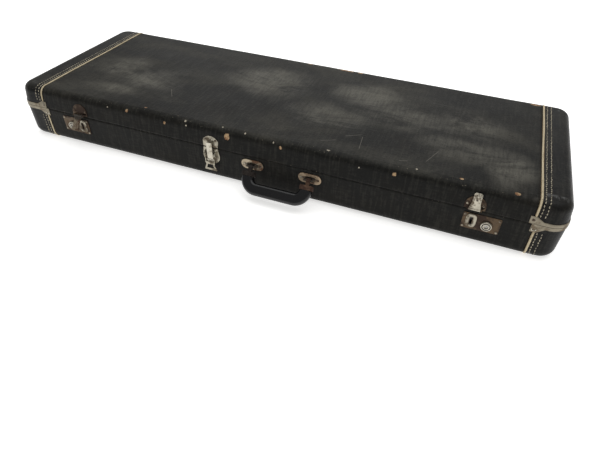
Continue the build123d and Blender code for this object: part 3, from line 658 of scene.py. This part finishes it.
def rub_of(points):
    """1 on the rounded edges and rims of the shell, 0 in the middle of its faces: bells of the distance
    from each edge line, the largest of them."""
    y = np.abs(points[:, 1])
    x = np.abs(points[:, 0])
    z = points[:, 2]
    top = np.exp(-(((z - LID_TOP + 3 * MM) / (6 * MM)) ** 2)) * np.exp(-(((y - 0.163) / (8 * MM)) ** 2))
    ends = np.exp(-(((z - LID_TOP + 3 * MM) / (6 * MM)) ** 2)) * np.exp(-(((x - 0.498) / (8 * MM)) ** 2))
    bottom = np.exp(-((z / (9 * MM)) ** 2)) * np.exp(-(((y - 0.163) / (12 * MM)) ** 2))
    rims = np.exp(-(((z - PARTING) / (2.2 * MM)) ** 2))
    return np.clip(np.maximum.reduce([top, ends, bottom, rims * 0.8]), 0, 1)


# --- settings -------------------------------------------------------------------------------
def colour_prop(name, description, value):
    return FloatVectorProperty(name=name, description=description, default=(*value, 1.0), size=4,
                               subtype="COLOR", min=0.0, max=1.0)


class CASE_PG_look(PropertyGroup):
    """Colours and small trim sizes of the case."""

    vinyl: colour_prop("Vinyl", "Main covering", (0.0070, 0.0069, 0.0061))
    end_vinyl: colour_prop("End Vinyl", "End covers", (0.0074, 0.0075, 0.0073))
    welt: colour_prop("Welt", "Piping cord", (0.57, 0.48, 0.32))
    board: colour_prop("Board", "Board showing where vinyl is worn through", (0.42, 0.29, 0.165))
    plush: colour_prop("Plush", "Lining pile", (0.36, 0.105, 0.018))
    stitch_pitch: FloatProperty(name="Stitch Pitch", description="From one stitch to the next",
                                default=5.6 * MM, subtype="DISTANCE", unit="LENGTH")
    stitch_length: FloatProperty(name="Stitch Length", description="Visible length of one stitch",
                                 default=3.9 * MM, subtype="DISTANCE", unit="LENGTH")
    sway: FloatProperty(name="Covering Unevenness", description="How far the glued vinyl waves",
                        default=0.16 * MM, subtype="DISTANCE", unit="LENGTH")


class CASE_PG_studio(PropertyGroup):
    """Camera and light of the studio."""

    lens: FloatProperty(name="Focal Length", description="Camera focal length in millimetres",
                        default=30.318, min=10, max=200)
    key_power: FloatProperty(name="Overhead Power", description="Power of the overhead softbox in watts",
                             default=34.0, min=0)
    back_power: FloatProperty(name="Back Power", description="Power of the softbox behind, in watts",
                              default=9.0, min=0)
    air: FloatProperty(name="Room Brightness", description="Strength of the white surround", default=0.38,
                       min=0)


# --- operators ------------------------------------------------------------------------------
class CASE_OT_studio(Operator):
    """Camera, pale floor and soft lights"""

    bl_idname = "case.studio"
    bl_label = "Studio"

    def execute(self, context):
        studio = context.scene.case_studio
        camera = bpy.data.objects.new("camera", bpy.data.cameras.new("camera"))
        camera.location = (0.3272, -0.8475, 0.5425)
        camera.rotation_euler = Euler((radians(50.017), radians(-1.664), radians(20.953)))
        camera.data.lens = studio.lens
        camera.data.sensor_width = 36.0
        context.scene.collection.objects.link(camera)
        context.scene.camera = camera
        context.scene.view_settings.view_transform = "Standard"
        self.floor()
        self.softbox("overhead", (0.1, 0.25, 2.2), (0, 0, 0), (3.2, 2.2), studio.key_power)
        self.softbox("behind", (-0.6, 2.4, 1.1), (0, 0, 0.1), (3.0, 1.4), studio.back_power)
        world = bpy.data.worlds.new("studio air")
        world.use_nodes = True
        background = world.node_tree.nodes["Background"]
        background.inputs["Color"].default_value = (1, 1, 1, 1)
        background.inputs["Strength"].default_value = studio.air
        context.scene.world = world
        return {"FINISHED"}

    def floor(self):
        """A wide flat pale sheet at height zero."""
        side = 90.0
        corners = [(-side, -side, 0), (side, -side, 0), (side, side, 0), (-side, side, 0)]
        floor = new_piece("studio_floor", corners, [(0, 1, 2, 3)], smooth=False)
        mat, n, out = material("pale floor", Roughness=0.6, Specular_IOR_Level=0.2, Emission_Strength=0.62)
        soft = n.noise(n.place(), 1.2, 2.0)
        n.feed(n.mix(soft, (0.93, 0.93, 0.93, 1), (0.95, 0.95, 0.945, 1)), out["Base Color"])
        out["Emission Color"].default_value = (1.0, 0.995, 0.98, 1)
        floor.data.materials.append(mat)

    def softbox(self, name, place, target, size, power):
        """A rectangular area light that faces a point."""
        lamp = bpy.data.lights.new(name, "AREA")
        lamp.shape = "RECTANGLE"
        lamp.size, lamp.size_y = size
        lamp.energy = power
        obj = bpy.data.objects.new(name, lamp)
        obj.location = place
        obj.rotation_euler = (Vector(target) - Vector(place)).to_track_quat("-Z", "Y").to_euler()
        bpy.context.scene.collection.objects.link(obj)


class CASE_OT_finishes(Operator):
    """Every material of the case and the effects that they share"""

    bl_idname = "case.finishes"
    bl_label = "Finishes"

    def execute(self, context):
        look = context.scene.case_look
        build_groups()
        vinyl_material("lid vinyl", tuple(look.vinyl)[:3], 0.72, 0.40, lid_wear=True)
        vinyl_material("base vinyl", tuple(look.vinyl)[:3], 0.2, 0.44)
        # Spots on the end covers whose fold ridges get a painted highlight
        folds_and_sheen = [worn(483, -152, 106, 17, 7), worn(-483, -152, 106, 17, 7), worn(505, -148, 90, 5, 10),
                 worn(-505, -148, 90, 5, 10), worn(484, 152, 106, 15, 7), worn(498, 150, 20, 10, 10)]
        vinyl_material("end vinyl", tuple(look.end_vinyl)[:3], 0.45, 0.32, crease_highlight_spots=folds_and_sheen)
        nickel = (0.44, 0.405, 0.325)
        olive = (0.12, 0.09, 0.055)
        metal_material("tarnished nickel", nickel, olive, 0.55, 0.34)
        metal_material("scored nickel", (0.28, 0.248, 0.188), (0.15, 0.11, 0.065), 0.5, 0.38, 140.0, 220.0)
        metal_material("bright nickel", (0.60, 0.56, 0.47), (0.18, 0.14, 0.09), 0.35, 0.26, 170.0)
        metal_material("rusted plate", (0.12, 0.085, 0.055), (0.035, 0.018, 0.010), 0.7, 0.42, 120.0)
        metal_material("rivet", (0.36, 0.32, 0.25), (0.06, 0.035, 0.02), 0.6, 0.4, 200.0)
        metal_material("plain steel", (0.42, 0.41, 0.39), (0.12, 0.09, 0.07), 0.3, 0.32)
        low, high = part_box("hasp_right")
        # Dark oval where the right hasp's slot is: painted shade inside the slot
        slot_shade_spot = ((low.x + high.x) / 2, low.y, low.z * 0.35 + high.z * 0.65), (2.6 * MM, 12 * MM, 4.5 * MM)
        metal_material("hasp nickel", (0.52, 0.48, 0.39), olive, 0.45, 0.3, 170.0, 0.0, [slot_shade_spot])
        low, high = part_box("hasp_left")
        upper = ((low.x + high.x) / 2, high.y, high.z), (16 * MM, 13 * MM, 15 * MM)
        metal_material("dull hasp", (0.36, 0.30, 0.22), (0.08, 0.045, 0.025), 0.7, 0.4, 150.0, 0.0, [upper])
        for end, plate, stain in (("left", (0.44, 0.37, 0.27), (0.14, 0.07, 0.035)),
                                  ("right", (0.38, 0.29, 0.20), (0.10, 0.045, 0.022))):
            low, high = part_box(f"handle_plate_{end}")
            centre = ((low.x + high.x) / 2, -HALF_WIDTH, (low.z + high.z) / 2)
            well = centre, (12.5 * MM, 30 * MM, 5.0 * MM)
            metal_material(f"handle plate {end}", plate, stain, 0.5, 0.36, 150.0, 0.0, [well])
        low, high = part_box("handle_loops")
        black = (low.x, low.y, low.z), (60 * MM, 60 * MM, 60 * MM)
        rust = (0.17, 0.105, 0.07), (0.05, 0.024, 0.014)
        metal_material("rusted ferrule", *rust, 0.8, 0.5, 130.0, 0.0, [black])
        plush_material(look)
        piping_material(look)
        thread_material()
        wood_material()
        moulded_material()
        return {"FINISHED"}


def covering(name, half, inset, ends, sway):
    """A sheet folded over the shell: the section carried along X, with a small ripple outwards that fades
    at the seams. Point = (x, y, z of the section) moved along the section's outward normal."""
    section = whole_section(half())
    inner = whole_section(half(inset))
    x = np.linspace(*ends, 181)
    along = np.gradient(section, axis=0)
    normal = np.column_stack([-along[:, 1], along[:, 0]])
    normal /= np.linalg.norm(normal, axis=1)[:, None]
    middle = section.mean(axis=0)
    normal *= np.sign(np.sum(normal * (section - middle), axis=1))[:, None]
    points = np.empty((len(section), len(x), 3))
    points[..., 0] = x
    points[..., 1:] = section[:, None]
    fade = np.clip(np.minimum(x - x[0], x[-1] - x) / 0.02, 0, 1)[None, :]
    height = (ripple(points, sway) - sway) * fade
    outer = points.copy()
    outer[..., 1:] += normal[:, None] * height[..., None]
    under = points.copy()
    under[..., 1:] = inner[:, None]
    return wall_grid(name, outer, under)


class CASE_OT_coverings(Operator):
    """Main vinyl of the base and the lid, between the pipings"""

    bl_idname = "case.coverings"
    bl_label = "Coverings"

    def execute(self, context):
        sway = context.scene.case_look.sway
        for half in HALVES:
            ends = (PIPING_X[half, "left"] + PIPING_HALF, PIPING_X[half, "right"] - PIPING_HALF)
            obj = covering(f"{half}_vinyl", SECTION[half], SKIN, ends, sway)
            if half == "base":
                for end in ENDS:
                    self.cut_recess(obj, f"lock_plate_{end}")
            rub_attribute(obj, rub_of)
            fit(obj, half, "vinyl", f"{half} vinyl", f"{half}_covering")
        return {"FINISHED"}

    def cut_recess(self, obj, plate):
        """Open the vinyl behind a lock plate, inside its edges by a margin, for the lock and the staple."""
        low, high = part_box(plate)
        margin = 5 * MM
        corners = [(x, y, z) for x in (low.x + margin, high.x - margin)
                   for y in (-HALF_WIDTH - 1 * MM, -HALF_WIDTH + 8 * MM)
                   for z in (low.z + margin, high.z - margin)]
        sides = [(0, 1, 3, 2), (4, 6, 7, 5), (0, 4, 5, 1), (2, 3, 7, 6), (0, 2, 6, 4), (1, 5, 7, 3)]
        cutter = new_piece("recess", corners, sides, smooth=False)
        apply_modifier(obj, "BOOLEAN", operation="DIFFERENCE", object=cutter, solver="EXACT")
        bpy.data.objects.remove(cutter)


def end_outline(side, start, inset):
    """Points of the U-shaped outline round one end, pushed in by inset: a straight leg, a quarter circle,
    the end, a quarter circle and a leg back."""
    corner = max(CORNER_R - inset, 3 * MM)
    x_end = HALF_LENGTH - inset
    y_side = HALF_WIDTH - inset
    leg = straight((start, -y_side), (x_end - corner, -y_side), 12)
    bend = arc((x_end - corner, -y_side + corner), corner, -90, 0, 13)
    across = straight((x_end, -y_side + corner), (x_end, y_side - corner), 44)[1:]
    half = np.vstack([leg, bend])
    path = np.vstack([half, across, half[::-1] * (1, -1)])
    return path * (side, 1)


def end_rings(side, half, start):
    """Grid of points of one end cover: a ring per point of the section, then rings that close the flat."""
    rings = []
    for y, z in half:
        ring = end_outline(side, start, y + HALF_WIDTH)
        rings.append(np.column_stack([ring, np.full(len(ring), z)]))
    last = rings[-1]
    seam_y = np.linspace(last[0, 1], last[-1, 1], len(last))
    goal = np.column_stack([np.full(len(last), side * start), seam_y, last[:, 2]])
    for share in np.linspace(0, 1, 9)[1:]:
        rings.append(last * (1 - share) + goal * share)
    return np.array(rings)


class CASE_OT_end_covers(Operator):
    """Smooth vinyl covers sewn over the two ends of the base and the lid"""

    bl_idname = "case.end_covers"
    bl_label = "End Covers"

    def execute(self, context):
        for end, side in ENDS.items():
            for part, half in SECTION.items():
                start = side * PIPING_X[part, end] + PIPING_HALF
                outer = end_rings(side, half(), start)
                inner = end_rings(side, half(SKIN), start)
                obj = wall_grid(f"{part}_end_{end}", outer, inner)
                rub_attribute(obj, rub_of)
                fit(obj, part, "end_vinyl", "end vinyl", f"{part}_end_cover_{end}")
        return {"FINISHED"}


def seam_path(half, x, low, high):
    """The section's line at one x between two heights."""
    section = whole_section(half, 60)
    keep = (section[:, 1] >= low) & (section[:, 1] <= high)
    section = resampled(section[keep], 1.6 * MM)
    return np.column_stack([np.full(len(section), x), section])


class CASE_OT_piping(Operator):
    """Cream welt cord along the inner edge of each end cover"""

    bl_idname = "case.piping"
    bl_label = "Piping"

    def execute(self, context):
        radius = 1.65 * MM
        for (part, end), x in PIPING_X.items():
            rim = LID_RIM if part == "lid" else PARTING
            low, high = sorted((rim, LID_TOP if part == "lid" else 0.0))
            path = self.dive(seam_path(SECTION[part](0.5 * MM), x, low, high), rim, TAB_Z[part])
            path[:, 2] = np.maximum(path[:, 2], radius + 0.02 * MM)
            path[:, 0] += 0.5 * MM * np.sin(path[:, 1] * 31 + x * 40)
            obj = tube(f"{part}_welt_{end}", path, radius)
            fit(obj, part, "piping", "cream welt", f"{part}_piping_{end}")
        return {"FINISHED"}

    def dive(self, path, rim, tab):
        """Move the ends of the cord inwards where the metal tab covers it."""
        depth = 1.4 * MM
        past = (path[:, 2] - tab) / (rim - tab)
        share = np.clip(past * 4 + 0.6, 0, 1)
        path = path.copy()
        path[:, 1] -= np.sign(path[:, 1]) * share * depth
        return path


class CASE_OT_stitching(Operator):
    """Two rows of stitches beside each piping"""

    bl_idname = "case.stitching"
    bl_label = "Stitching"

    def execute(self, context):
        look = context.scene.case_look
        offsets = (5.8 * MM, 12.8 * MM)
        for (part, end), x in PIPING_X.items():
            edge = TAB_Z[part] + (1 if part == "lid" else -1) * MM
            low, high = sorted((edge, 1.0 if part == "lid" else -1.0))
            rows = [self.row(resampled(seam_path(SECTION[part](), x + ENDS[end] * offset, low, high),
                                       look.stitch_pitch), look.stitch_length) for offset in offsets]
            verts = np.vstack([r[0] for r in rows])
            faces = np.vstack([rows[0][1], rows[1][1] + len(rows[0][0])])
            verts[:, 2] = np.maximum(verts[:, 2], 0.02 * MM)
            obj = new_piece(f"{part}_stitches_{end}", verts, faces)
            fit(obj, part, "piping", "waxed thread")
        return {"FINISHED"}

    def row(self, path, length):
        """One row: a slim grain of thread at each path point, its ends tucked into the vinyl and the whole
        row a little unevenly laid. Point = centre + t length along + width cos a across + height sin a
        outwards, both times sqrt(1 - t squared)."""
        along = np.gradient(path, axis=0)
        along /= np.linalg.norm(along, axis=1)[:, None]
        across = np.array((1.0, 0.0, 0.0))
        out = np.cross(across, along)
        out *= np.sign(np.sum(out * (path - path.mean(axis=0)), axis=1))[:, None]
        number = np.arange(len(path))
        path = path + across * (0.35 * MM * np.sin(number * 2.3 + path[0, 0] * 50))[:, None]
        along = along + across * (0.10 * np.sin(number * 1.7))[:, None]
        t = np.array([-0.98, -0.6, 0.0, 0.6, 0.98])
        a = np.linspace(0, 2 * pi, 6, endpoint=False)
        swell = np.sqrt(1 - t**2)[:, None]
        u = (t[:, None] * length / 2 + 0 * a).ravel()
        v = (0.85 * MM * swell * np.cos(a)).ravel()
        w = (0.7 * MM * swell * np.sin(a)).ravel()
        points = (path[:, None] + along[:, None] * u[None, :, None] + across * v[None, :, None]
                  + out[:, None] * (w[None, :, None] + 0.25 * MM))
        one = grid_faces(len(t), len(a), closed=True)
        caps = np.array([[0, 1, 2, 3], [0, 3, 4, 5]])
        caps = np.vstack([caps, caps + (len(t) - 1) * len(a)])
        one = np.vstack([one, caps])
        shift = (np.arange(len(path)) * len(u))[:, None, None]
        return points.reshape(-1, 3), (one[None] + shift).reshape(-1, 4)


def merged_copy(node, name):
    """A copy of a CAD node's mesh with its doubled corners joined and its flat faces made whole."""
    mesh = NODES[node].data.copy()
    mesh.name = name
    mesh.materials.clear()
    work = bmesh.new()
    work.from_mesh(mesh)
    bmesh.ops.remove_doubles(work, verts=work.verts, dist=0.01 * MM)
    bmesh.ops.dissolve_limit(work, angle_limit=radians(1.0), verts=work.verts, edges=work.edges)
    work.to_mesh(mesh)
    work.free()
    obj = bpy.data.objects.new(name, mesh)
    bpy.context.scene.collection.objects.link(obj)
    return obj


def smoothed(obj):
    """Shade every face of a piece smooth."""
    faces = obj.data.polygons
    faces.foreach_set("use_smooth", np.ones(len(faces), dtype=bool))


def eased(node, finish, name=None, width=0.3 * MM, segments=2, sharp=32):
    """The node's shape with its sharp edges eased to small rounds, as pressed and plated metal has. An edge
    is sharp when its faces turn by more than the given degrees."""
    obj = merged_copy(node, name or f"{node}_eased")
    smoothed(obj)
    bevel = obj.modifiers.new("ease", "BEVEL")
    bevel.limit_method = "ANGLE"
    bevel.angle_limit = radians(sharp)
    bevel.width = width
    bevel.segments = segments
    bevel.harden_normals = True
    return fit(obj, NODES[node]["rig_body"], SLOT_OF[node], finish, node)


class CASE_OT_nails(Operator):
    """Nails through the metal tabs of the bindings, and the curled scallop stamped in each lower tab"""

    bl_idname = "case.nails"
    bl_label = "Binding Nails"

    def execute(self, context):
        for half, end in PIPING_X:
            low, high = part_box(f"{half}_binding_{end}")
            inner = low.x if end == "right" else high.x
            x = inner + ENDS[end] * 5.2 * MM
            if half == "lid":
                self.nail(f"lid_nail_{end}", x, 6.2 * MM, 2.9 * MM)
            else:
                self.curl(f"base_curl_{end}", x, PARTING - 9.5 * MM)
        return {"FINISHED"}

    def nail(self, name, x, v, radius):
        """A low domed head on the lid's front: its height falls off as a cosine of the share of the radius,
        and its outermost ring sinks to the tab."""
        sides = 20
        share = np.linspace(1, 0.04, 8)[:, None]
        a = np.linspace(0, 2 * pi, sides, endpoint=False)
        rise = 0.8 * MM + 0.9 * MM * np.cos(share * pi / 2)
        rise[0] = 0.3 * MM
        points = lid_front(x + radius * share * np.cos(a), v + radius * share * np.sin(a), rise + 0 * a)
        first = np.arange(sides)
        caps = [first, first + (len(share) - 1) * sides]
        faces = [list(f) for f in grid_faces(len(share), sides, closed=True)] + [list(c) for c in caps]
        fit(new_piece(name, points.reshape(-1, 3), faces), "lid", "nickel", "rivet")

    def curl(self, name, x, v):
        """A raised crescent on the base's front: a tube whose middle line is part of an ellipse."""
        t = np.linspace(radians(150), radians(385), 28)
        radius = 3.3 * MM
        path = base_front(x + radius * np.cos(t), v + 0.8 * radius * np.sin(t), 0.9 * MM + 0 * t)
        fit(tube(name, path, 0.75 * MM, 10), "base", "nickel", "bright nickel")


# Nodes whose edges are eased, and nodes that keep their engineered mesh, by finish
EASED = {
    "scored nickel": ("base_binding_left", "base_binding_right", "lid_binding_left", "lid_binding_right"),
    "rusted plate": ("lock_plate_left", "lock_plate_right", "hasp_plate_left", "hasp_plate_right"),
    "hasp nickel": ("hasp_right",),
    "dull hasp": ("hasp_left",),
    "bright nickel": ("draw_hook",),
    "tarnished nickel": ("draw_catch", "draw_plate", "draw_lever", "hinge_lower_leaves",
                         "hinge_upper_leaves"),
    "handle plate left": ("handle_plate_left",),
    "handle plate right": ("handle_plate_right",),
    "rusted ferrule": ("handle_loops",),
}
CAD_FINISHES = {
    "rivet": ("base_rivets", "lid_rivets"),
    "tarnished nickel": ("lock_button_left", "lock_button_right"),
    "plain steel": ("key_plug_left", "key_plug_right", "hinge_pins", "lock_springs", "lock_cases",
                    "hasp_pins", "draw_pins", "hook_pin", "lock_bolt_left", "lock_bolt_right"),
    "plywood": ("base_frame", "base_panel", "lid_frame", "lid_panel", "rim_lip", "accessory_box"),
    "plush lining": ("accessory_hinge",),
    "end vinyl": ("accessory_tab",),
}


class CASE_OT_metalwork(Operator):
    """Plated fittings with eased edges, and the boards that keep their engineered shape"""

    bl_idname = "case.metalwork"
    bl_label = "Metalwork and Boards"

    def execute(self, context):
        for finish, names in EASED.items():
            for name in names:
                eased(name, finish)
        for finish, names in CAD_FINISHES.items():
            for name in names:
                dress(NODES[name], finish)
        return {"FINISHED"}


class CASE_OT_locks(Operator):
    """Turned push button with its rings, and the oval nickel boss with a dark slot, on each lock"""

    bl_idname = "case.locks"
    bl_label = "Lock Buttons and Bosses"

    def execute(self, context):
        for end in ENDS:
            low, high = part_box(f"lock_button_{end}")
            x = middle_x(f"lock_button_{end}")
            v = (low.z + high.z) / 2 / cos(BASE_LEAN)
            out = -low.y - HALF_WIDTH + BASE_SLOPE * (PARTING - v)
            self.rings(f"lock_button_rings_{end}", x, v, (high.x - low.x) / 2, out, f"button_{end}")
            self.boss(f"lock_boss_{end}", middle_x(f"hasp_{end}"), v + 3.9 * MM)
        return {"FINISHED"}

    def rings(self, name, x, v, radius, top, body):
        """Rings turned in the button's face: (share of the radius, height above the face, grime)."""
        steps = [(0.97, -0.3, 0), (0.97, 0.25, 0), (0.92, 0.75, 0), (0.84, 0.75, 0), (0.78, 0.05, 1),
                 (0.62, 0.05, 1), (0.57, 0.8, 0), (0.44, 0.8, 0), (0.40, 0.05, 1), (0.39, 0.04, 1),
                 (0.39, -0.3, 1)]
        share, rise, grime = np.array(steps).T
        a = np.linspace(0, 2 * pi, 40, endpoint=False)
        across, up = radius * share[:, None] * np.cos(a), radius * share[:, None] * np.sin(a)
        self.ring_solid(name, base_front(x + across, v + up, top + rise[:, None] * MM + 0 * a), grime,
                        "bright nickel", body)

    def ring_solid(self, name, rows, grime, finish, body):
        """A closed ring of rows of points, joined round both ways, with each row's darkening kept on it as
        the grime attribute: grime in a button's grooves, painted shade in a boss's slot.
        """
        count, cols = rows.shape[:2]
        faces = grid_faces(count + 1, cols, closed=True) % (count * cols)
        obj = new_piece(name, rows.reshape(-1, 3), faces)
        if len(obj.data.vertices) != count * cols:
            raise RuntimeError(f"{name} has joined points, so its grime can't be laid on its rows")
        attribute = obj.data.attributes.new("grime", "FLOAT", "POINT")
        attribute.data.foreach_set("value", np.repeat(grime, cols).astype(np.float32))
        fit(obj, body, "nickel", finish)

    def boss(self, name, x, v):
        """Oval nickel cover with a slot: rows blend from a rounded oblong outline to the slot's, and the
        slot is painted dark as painted shade inside it.
        """
        a = np.linspace(0, 2 * pi, 48, endpoint=False)
        oval = self.oblong(a, 8.4 * MM, 13.0 * MM, 3.2)
        slot = self.oblong(a, 2.3 * MM, 6.6 * MM, 5.0)
        # The third column darkens rows through the grime attribute: here it is painted shade inside the slot
        steps = [(0.0, 0.15, 0.2), (0.0, 2.2, 0), (0.07, 2.75, 0), (0.45, 2.85, 0), (0.62, 2.6, 0.1),
                 (0.85, 2.5, 0.5), (0.98, 2.3, 1), (1.0, 0.15, 1)]
        share, out, grime = np.array(steps).T
        shape = oval[None] * (1 - share[:, None, None]) + slot[None] * share[:, None, None]
        rows = base_front(x + shape[..., 0], v + shape[..., 1], out[:, None] * MM + 0 * a)
        self.ring_solid(name, rows, grime, "tarnished nickel", "base")

    def oblong(self, a, half_x, half_y, power):
        """A superellipse: half sizes times the cosine and sine, each to the power 2 over power."""
        c, s = np.cos(a), np.sin(a)
        return np.column_stack([half_x * np.sign(c) * np.abs(c) ** (2 / power),
                                half_y * np.sign(s) * np.abs(s) ** (2 / power)])


class CASE_OT_grip(Operator):
    """Moulded handle: a deep rounded bar that bends back at both ends"""

    bl_idname = "case.grip"
    bl_label = "Handle Grip"

    def execute(self, context):
        eased("handle_grip", "moulded handle", "handle_moulding", 1.1 * MM, 3, 30)
        return {"FINISHED"}


def loop(inset_x, inset_y, corner, z):
    """A closed rounded rectangle at one height: quarter circles at the four corners joined by straight
    sides, the same number of points whatever its size."""
    x, y = HALF_LENGTH - inset_x, HALF_WIDTH - inset_y
    corner = min(corner, x * 0.9, y * 0.9)
    bend = arc((x - corner, y - corner), corner, 0, 90, 10)
    top = straight(bend[-1], bend[-1] * (-1, 1), 41)[1:-1]
    left = bend[::-1] * (-1, 1)
    side = straight(left[-1], left[-1] * (1, -1), 21)[1:-1]
    half = np.vstack([bend, top, left, side])
    ring = np.vstack([half, -half])
    return np.column_stack([ring, np.full(len(ring), z)])


class CASE_OT_linings(Operator):
    """Plush glued over the boards inside the base and the lid"""

    bl_idname = "case.linings"
    bl_label = "Linings"

    def execute(self, context):
        low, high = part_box("base_lining")
        self.tray("base_plush", "base", low.z, high.z - 0.3 * MM, BASE_SLOPE)
        low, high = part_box("lid_lining")
        self.tray("lid_plush", "lid", high.z, low.z + 0.3 * MM, LID_SLOPE)
        return {"FINISHED"}

    def tray(self, name, half, board_z, edge_z, slope):
        """Two skins a lining's thickness apart: rings run from the rim down the leaning wall, round a small
        edge and in over the flat, and a face closes the middle. Inset grows by slope times the depth."""
        rim = PARTING if half == "base" else LID_RIM
        up = 1 if board_z > rim else -1
        wall = HALF_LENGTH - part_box(f"{half}_lining")[1].x - slope * abs(edge_z - rim)
        skins = []
        for gap in (LINING, 0.2 * MM):
            flat_z = board_z - up * gap
            inset = wall + gap
            bend = 6 * MM
            rows = []
            for z in np.linspace(edge_z, flat_z - up * bend, 7):
                rows.append((inset + slope * abs(z - rim), z))
            foot = rows[-1][0]
            for a in np.linspace(0, pi / 2, 6)[1:]:
                rows.append((foot + bend * (1 - cos(a)), flat_z - up * bend * (1 - sin(a))))
            foot = rows[-1][0]
            rings = [loop(i, i, max(CORNER_R - i, 9 * MM), z) for i, z in rows]
            last = rings[-1]
            for share in (0.97, 0.9, 0.75, 0.55, 0.3, 0.05):
                rings.append(last * (share, share, 1))
            rings = np.array(rings)
            if gap == LINING:
                rings[1:, :, 2] += 0.25 * MM * np.sin(rings[1:, :, 0] * 90) * np.sin(rings[1:, :, 1] * 110)
            skins.append(rings)
        rows, cols = skins[0].shape[:2]
        count = rows * cols
        faces = grid_faces(rows, cols, closed=True)
        first = np.arange(cols)
        after = np.roll(first, -1)
        rim_faces = np.stack([first, first + count, after + count, after], axis=-1)
        every = [list(f) for f in np.vstack([faces, faces[:, ::-1] + count, rim_faces])]
        last = list(range(count - cols, count))
        every += [last, [i + count for i in last]]
        obj = new_piece(name, np.vstack([k.reshape(-1, 3) for k in skins]), every)
        fit(obj, half, "plush", "plush lining", f"{half}_lining")


# Each pad: the size of its remeshed cells and how far it may swell, in millimetres, and its fill
PADS = {
    "body_cushion": (6.0, 4.0, 0.85),
    "head_cushion": (6.0, 3.5, 0.85),
    "neck_side_cushion": (6.0, 3.5, 0.85),
    "neck_rest": (5.0, 3.5, 0.85),
    "lid_pad": (6.0, 3.0, 0.7),
    "accessory_lid": (4.0, 2.0, 0.7),
}


class CASE_OT_padding(Operator):
    """Plush cushions of the well, the lid's pad and the padded lid of the accessory box"""

    bl_idname = "case.padding"
    bl_label = "Padding"

    def execute(self, context):
        for node, (cell, cap, fill) in PADS.items():
            self.pad(node, cell * MM, cap * MM, fill)
        return {"FINISHED"}

    def pad(self, node, cell, cap, fill):
        """Remesh the shape evenly, draw it in, let it swell under pressure and hold how far it moves."""
        obj = merged_copy(node, f"{node}_padded")
        apply_modifier(obj, "REMESH", mode="VOXEL", voxel_size=cell)
        mesh = obj.data
        count = len(mesh.vertices)
        start = np.empty(count * 3, np.float32)
        normal = np.empty(count * 3, np.float32)
        mesh.vertices.foreach_get("co", start)
        mesh.vertices.foreach_get("normal", normal)
        start, normal = start.reshape(-1, 3), normal.reshape(-1, 3)
        low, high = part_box(node)
        start = np.clip(start, np.array(low) + 0.2 * MM, np.array(high) - 0.2 * MM)
        drawn_in = start - normal * cap * 0.6
        mesh.vertices.foreach_set("co", drawn_in.ravel())
        cloth = obj.modifiers.new("swell", "CLOTH")
        cloth.settings.use_pressure = True
        cloth.settings.uniform_pressure_force = 4.0
        cloth.settings.effector_weights.gravity = 0.0
        cloth.settings.mass = 0.3
        cloth.settings.quality = 4
        scene = bpy.context.scene
        scene.frame_start, scene.frame_end = 1, 20
        for number in range(1, 21):
            scene.frame_set(number)
        shown = obj.evaluated_get(bpy.context.evaluated_depsgraph_get()).to_mesh()
        swollen = np.empty(count * 3, np.float32)
        shown.vertices.foreach_get("co", swollen)
        move = swollen.reshape(-1, 3) - drawn_in
        far = np.linalg.norm(move, axis=1)
        move *= np.minimum(1, cap / np.maximum(far, 1e-9))[:, None]
        obj.modifiers.remove(cloth)
        scene.frame_set(1)
        mesh.vertices.foreach_set("co", (drawn_in + move).ravel())
        mesh.update()
        smoothed(obj)
        obj.modifiers.new("soften", "SUBSURF").levels = 1
        obj.modifiers["soften"].render_levels = 1
        fit(obj, NODES[node]["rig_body"], SLOT_OF[node], "plush lining", node)


STEPS = (CASE_OT_studio, CASE_OT_finishes, CASE_OT_metalwork, CASE_OT_coverings, CASE_OT_end_covers,
         CASE_OT_piping, CASE_OT_stitching, CASE_OT_nails, CASE_OT_locks, CASE_OT_grip,
         CASE_OT_linings, CASE_OT_padding)


class CASE_PT_panel(Panel):
    """Lists the settings and the building steps"""

    bl_idname = "CASE_PT_panel"
    bl_label = "Guitar Case"
    bl_space_type = "VIEW_3D"
    bl_region_type = "UI"
    bl_category = "Guitar Case"

    def draw(self, context):
        layout = self.layout
        for group in (context.scene.case_look, context.scene.case_studio):
            box = layout.box()
            for key in group.__annotations__:
                box.prop(group, key)
        for step in STEPS:
            layout.operator(step.bl_idname)


CLASSES = (CASE_PG_look, CASE_PG_studio, *STEPS, CASE_PT_panel)


def register():
    for cls in CLASSES:
        bpy.utils.register_class(cls)
    bpy.types.Scene.case_look = PointerProperty(type=CASE_PG_look)
    bpy.types.Scene.case_studio = PointerProperty(type=CASE_PG_studio)


def unregister():
    del bpy.types.Scene.case_studio
    del bpy.types.Scene.case_look
    for cls in reversed(CLASSES):
        bpy.utils.unregister_class(cls)


def main():
    """Build the whole finish around the frame."""
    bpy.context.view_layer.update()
    register()
    for step in STEPS:
        group, operator = step.bl_idname.split(".")
        getattr(getattr(bpy.ops, group), operator)()


if __name__ == "__main__":
    main()
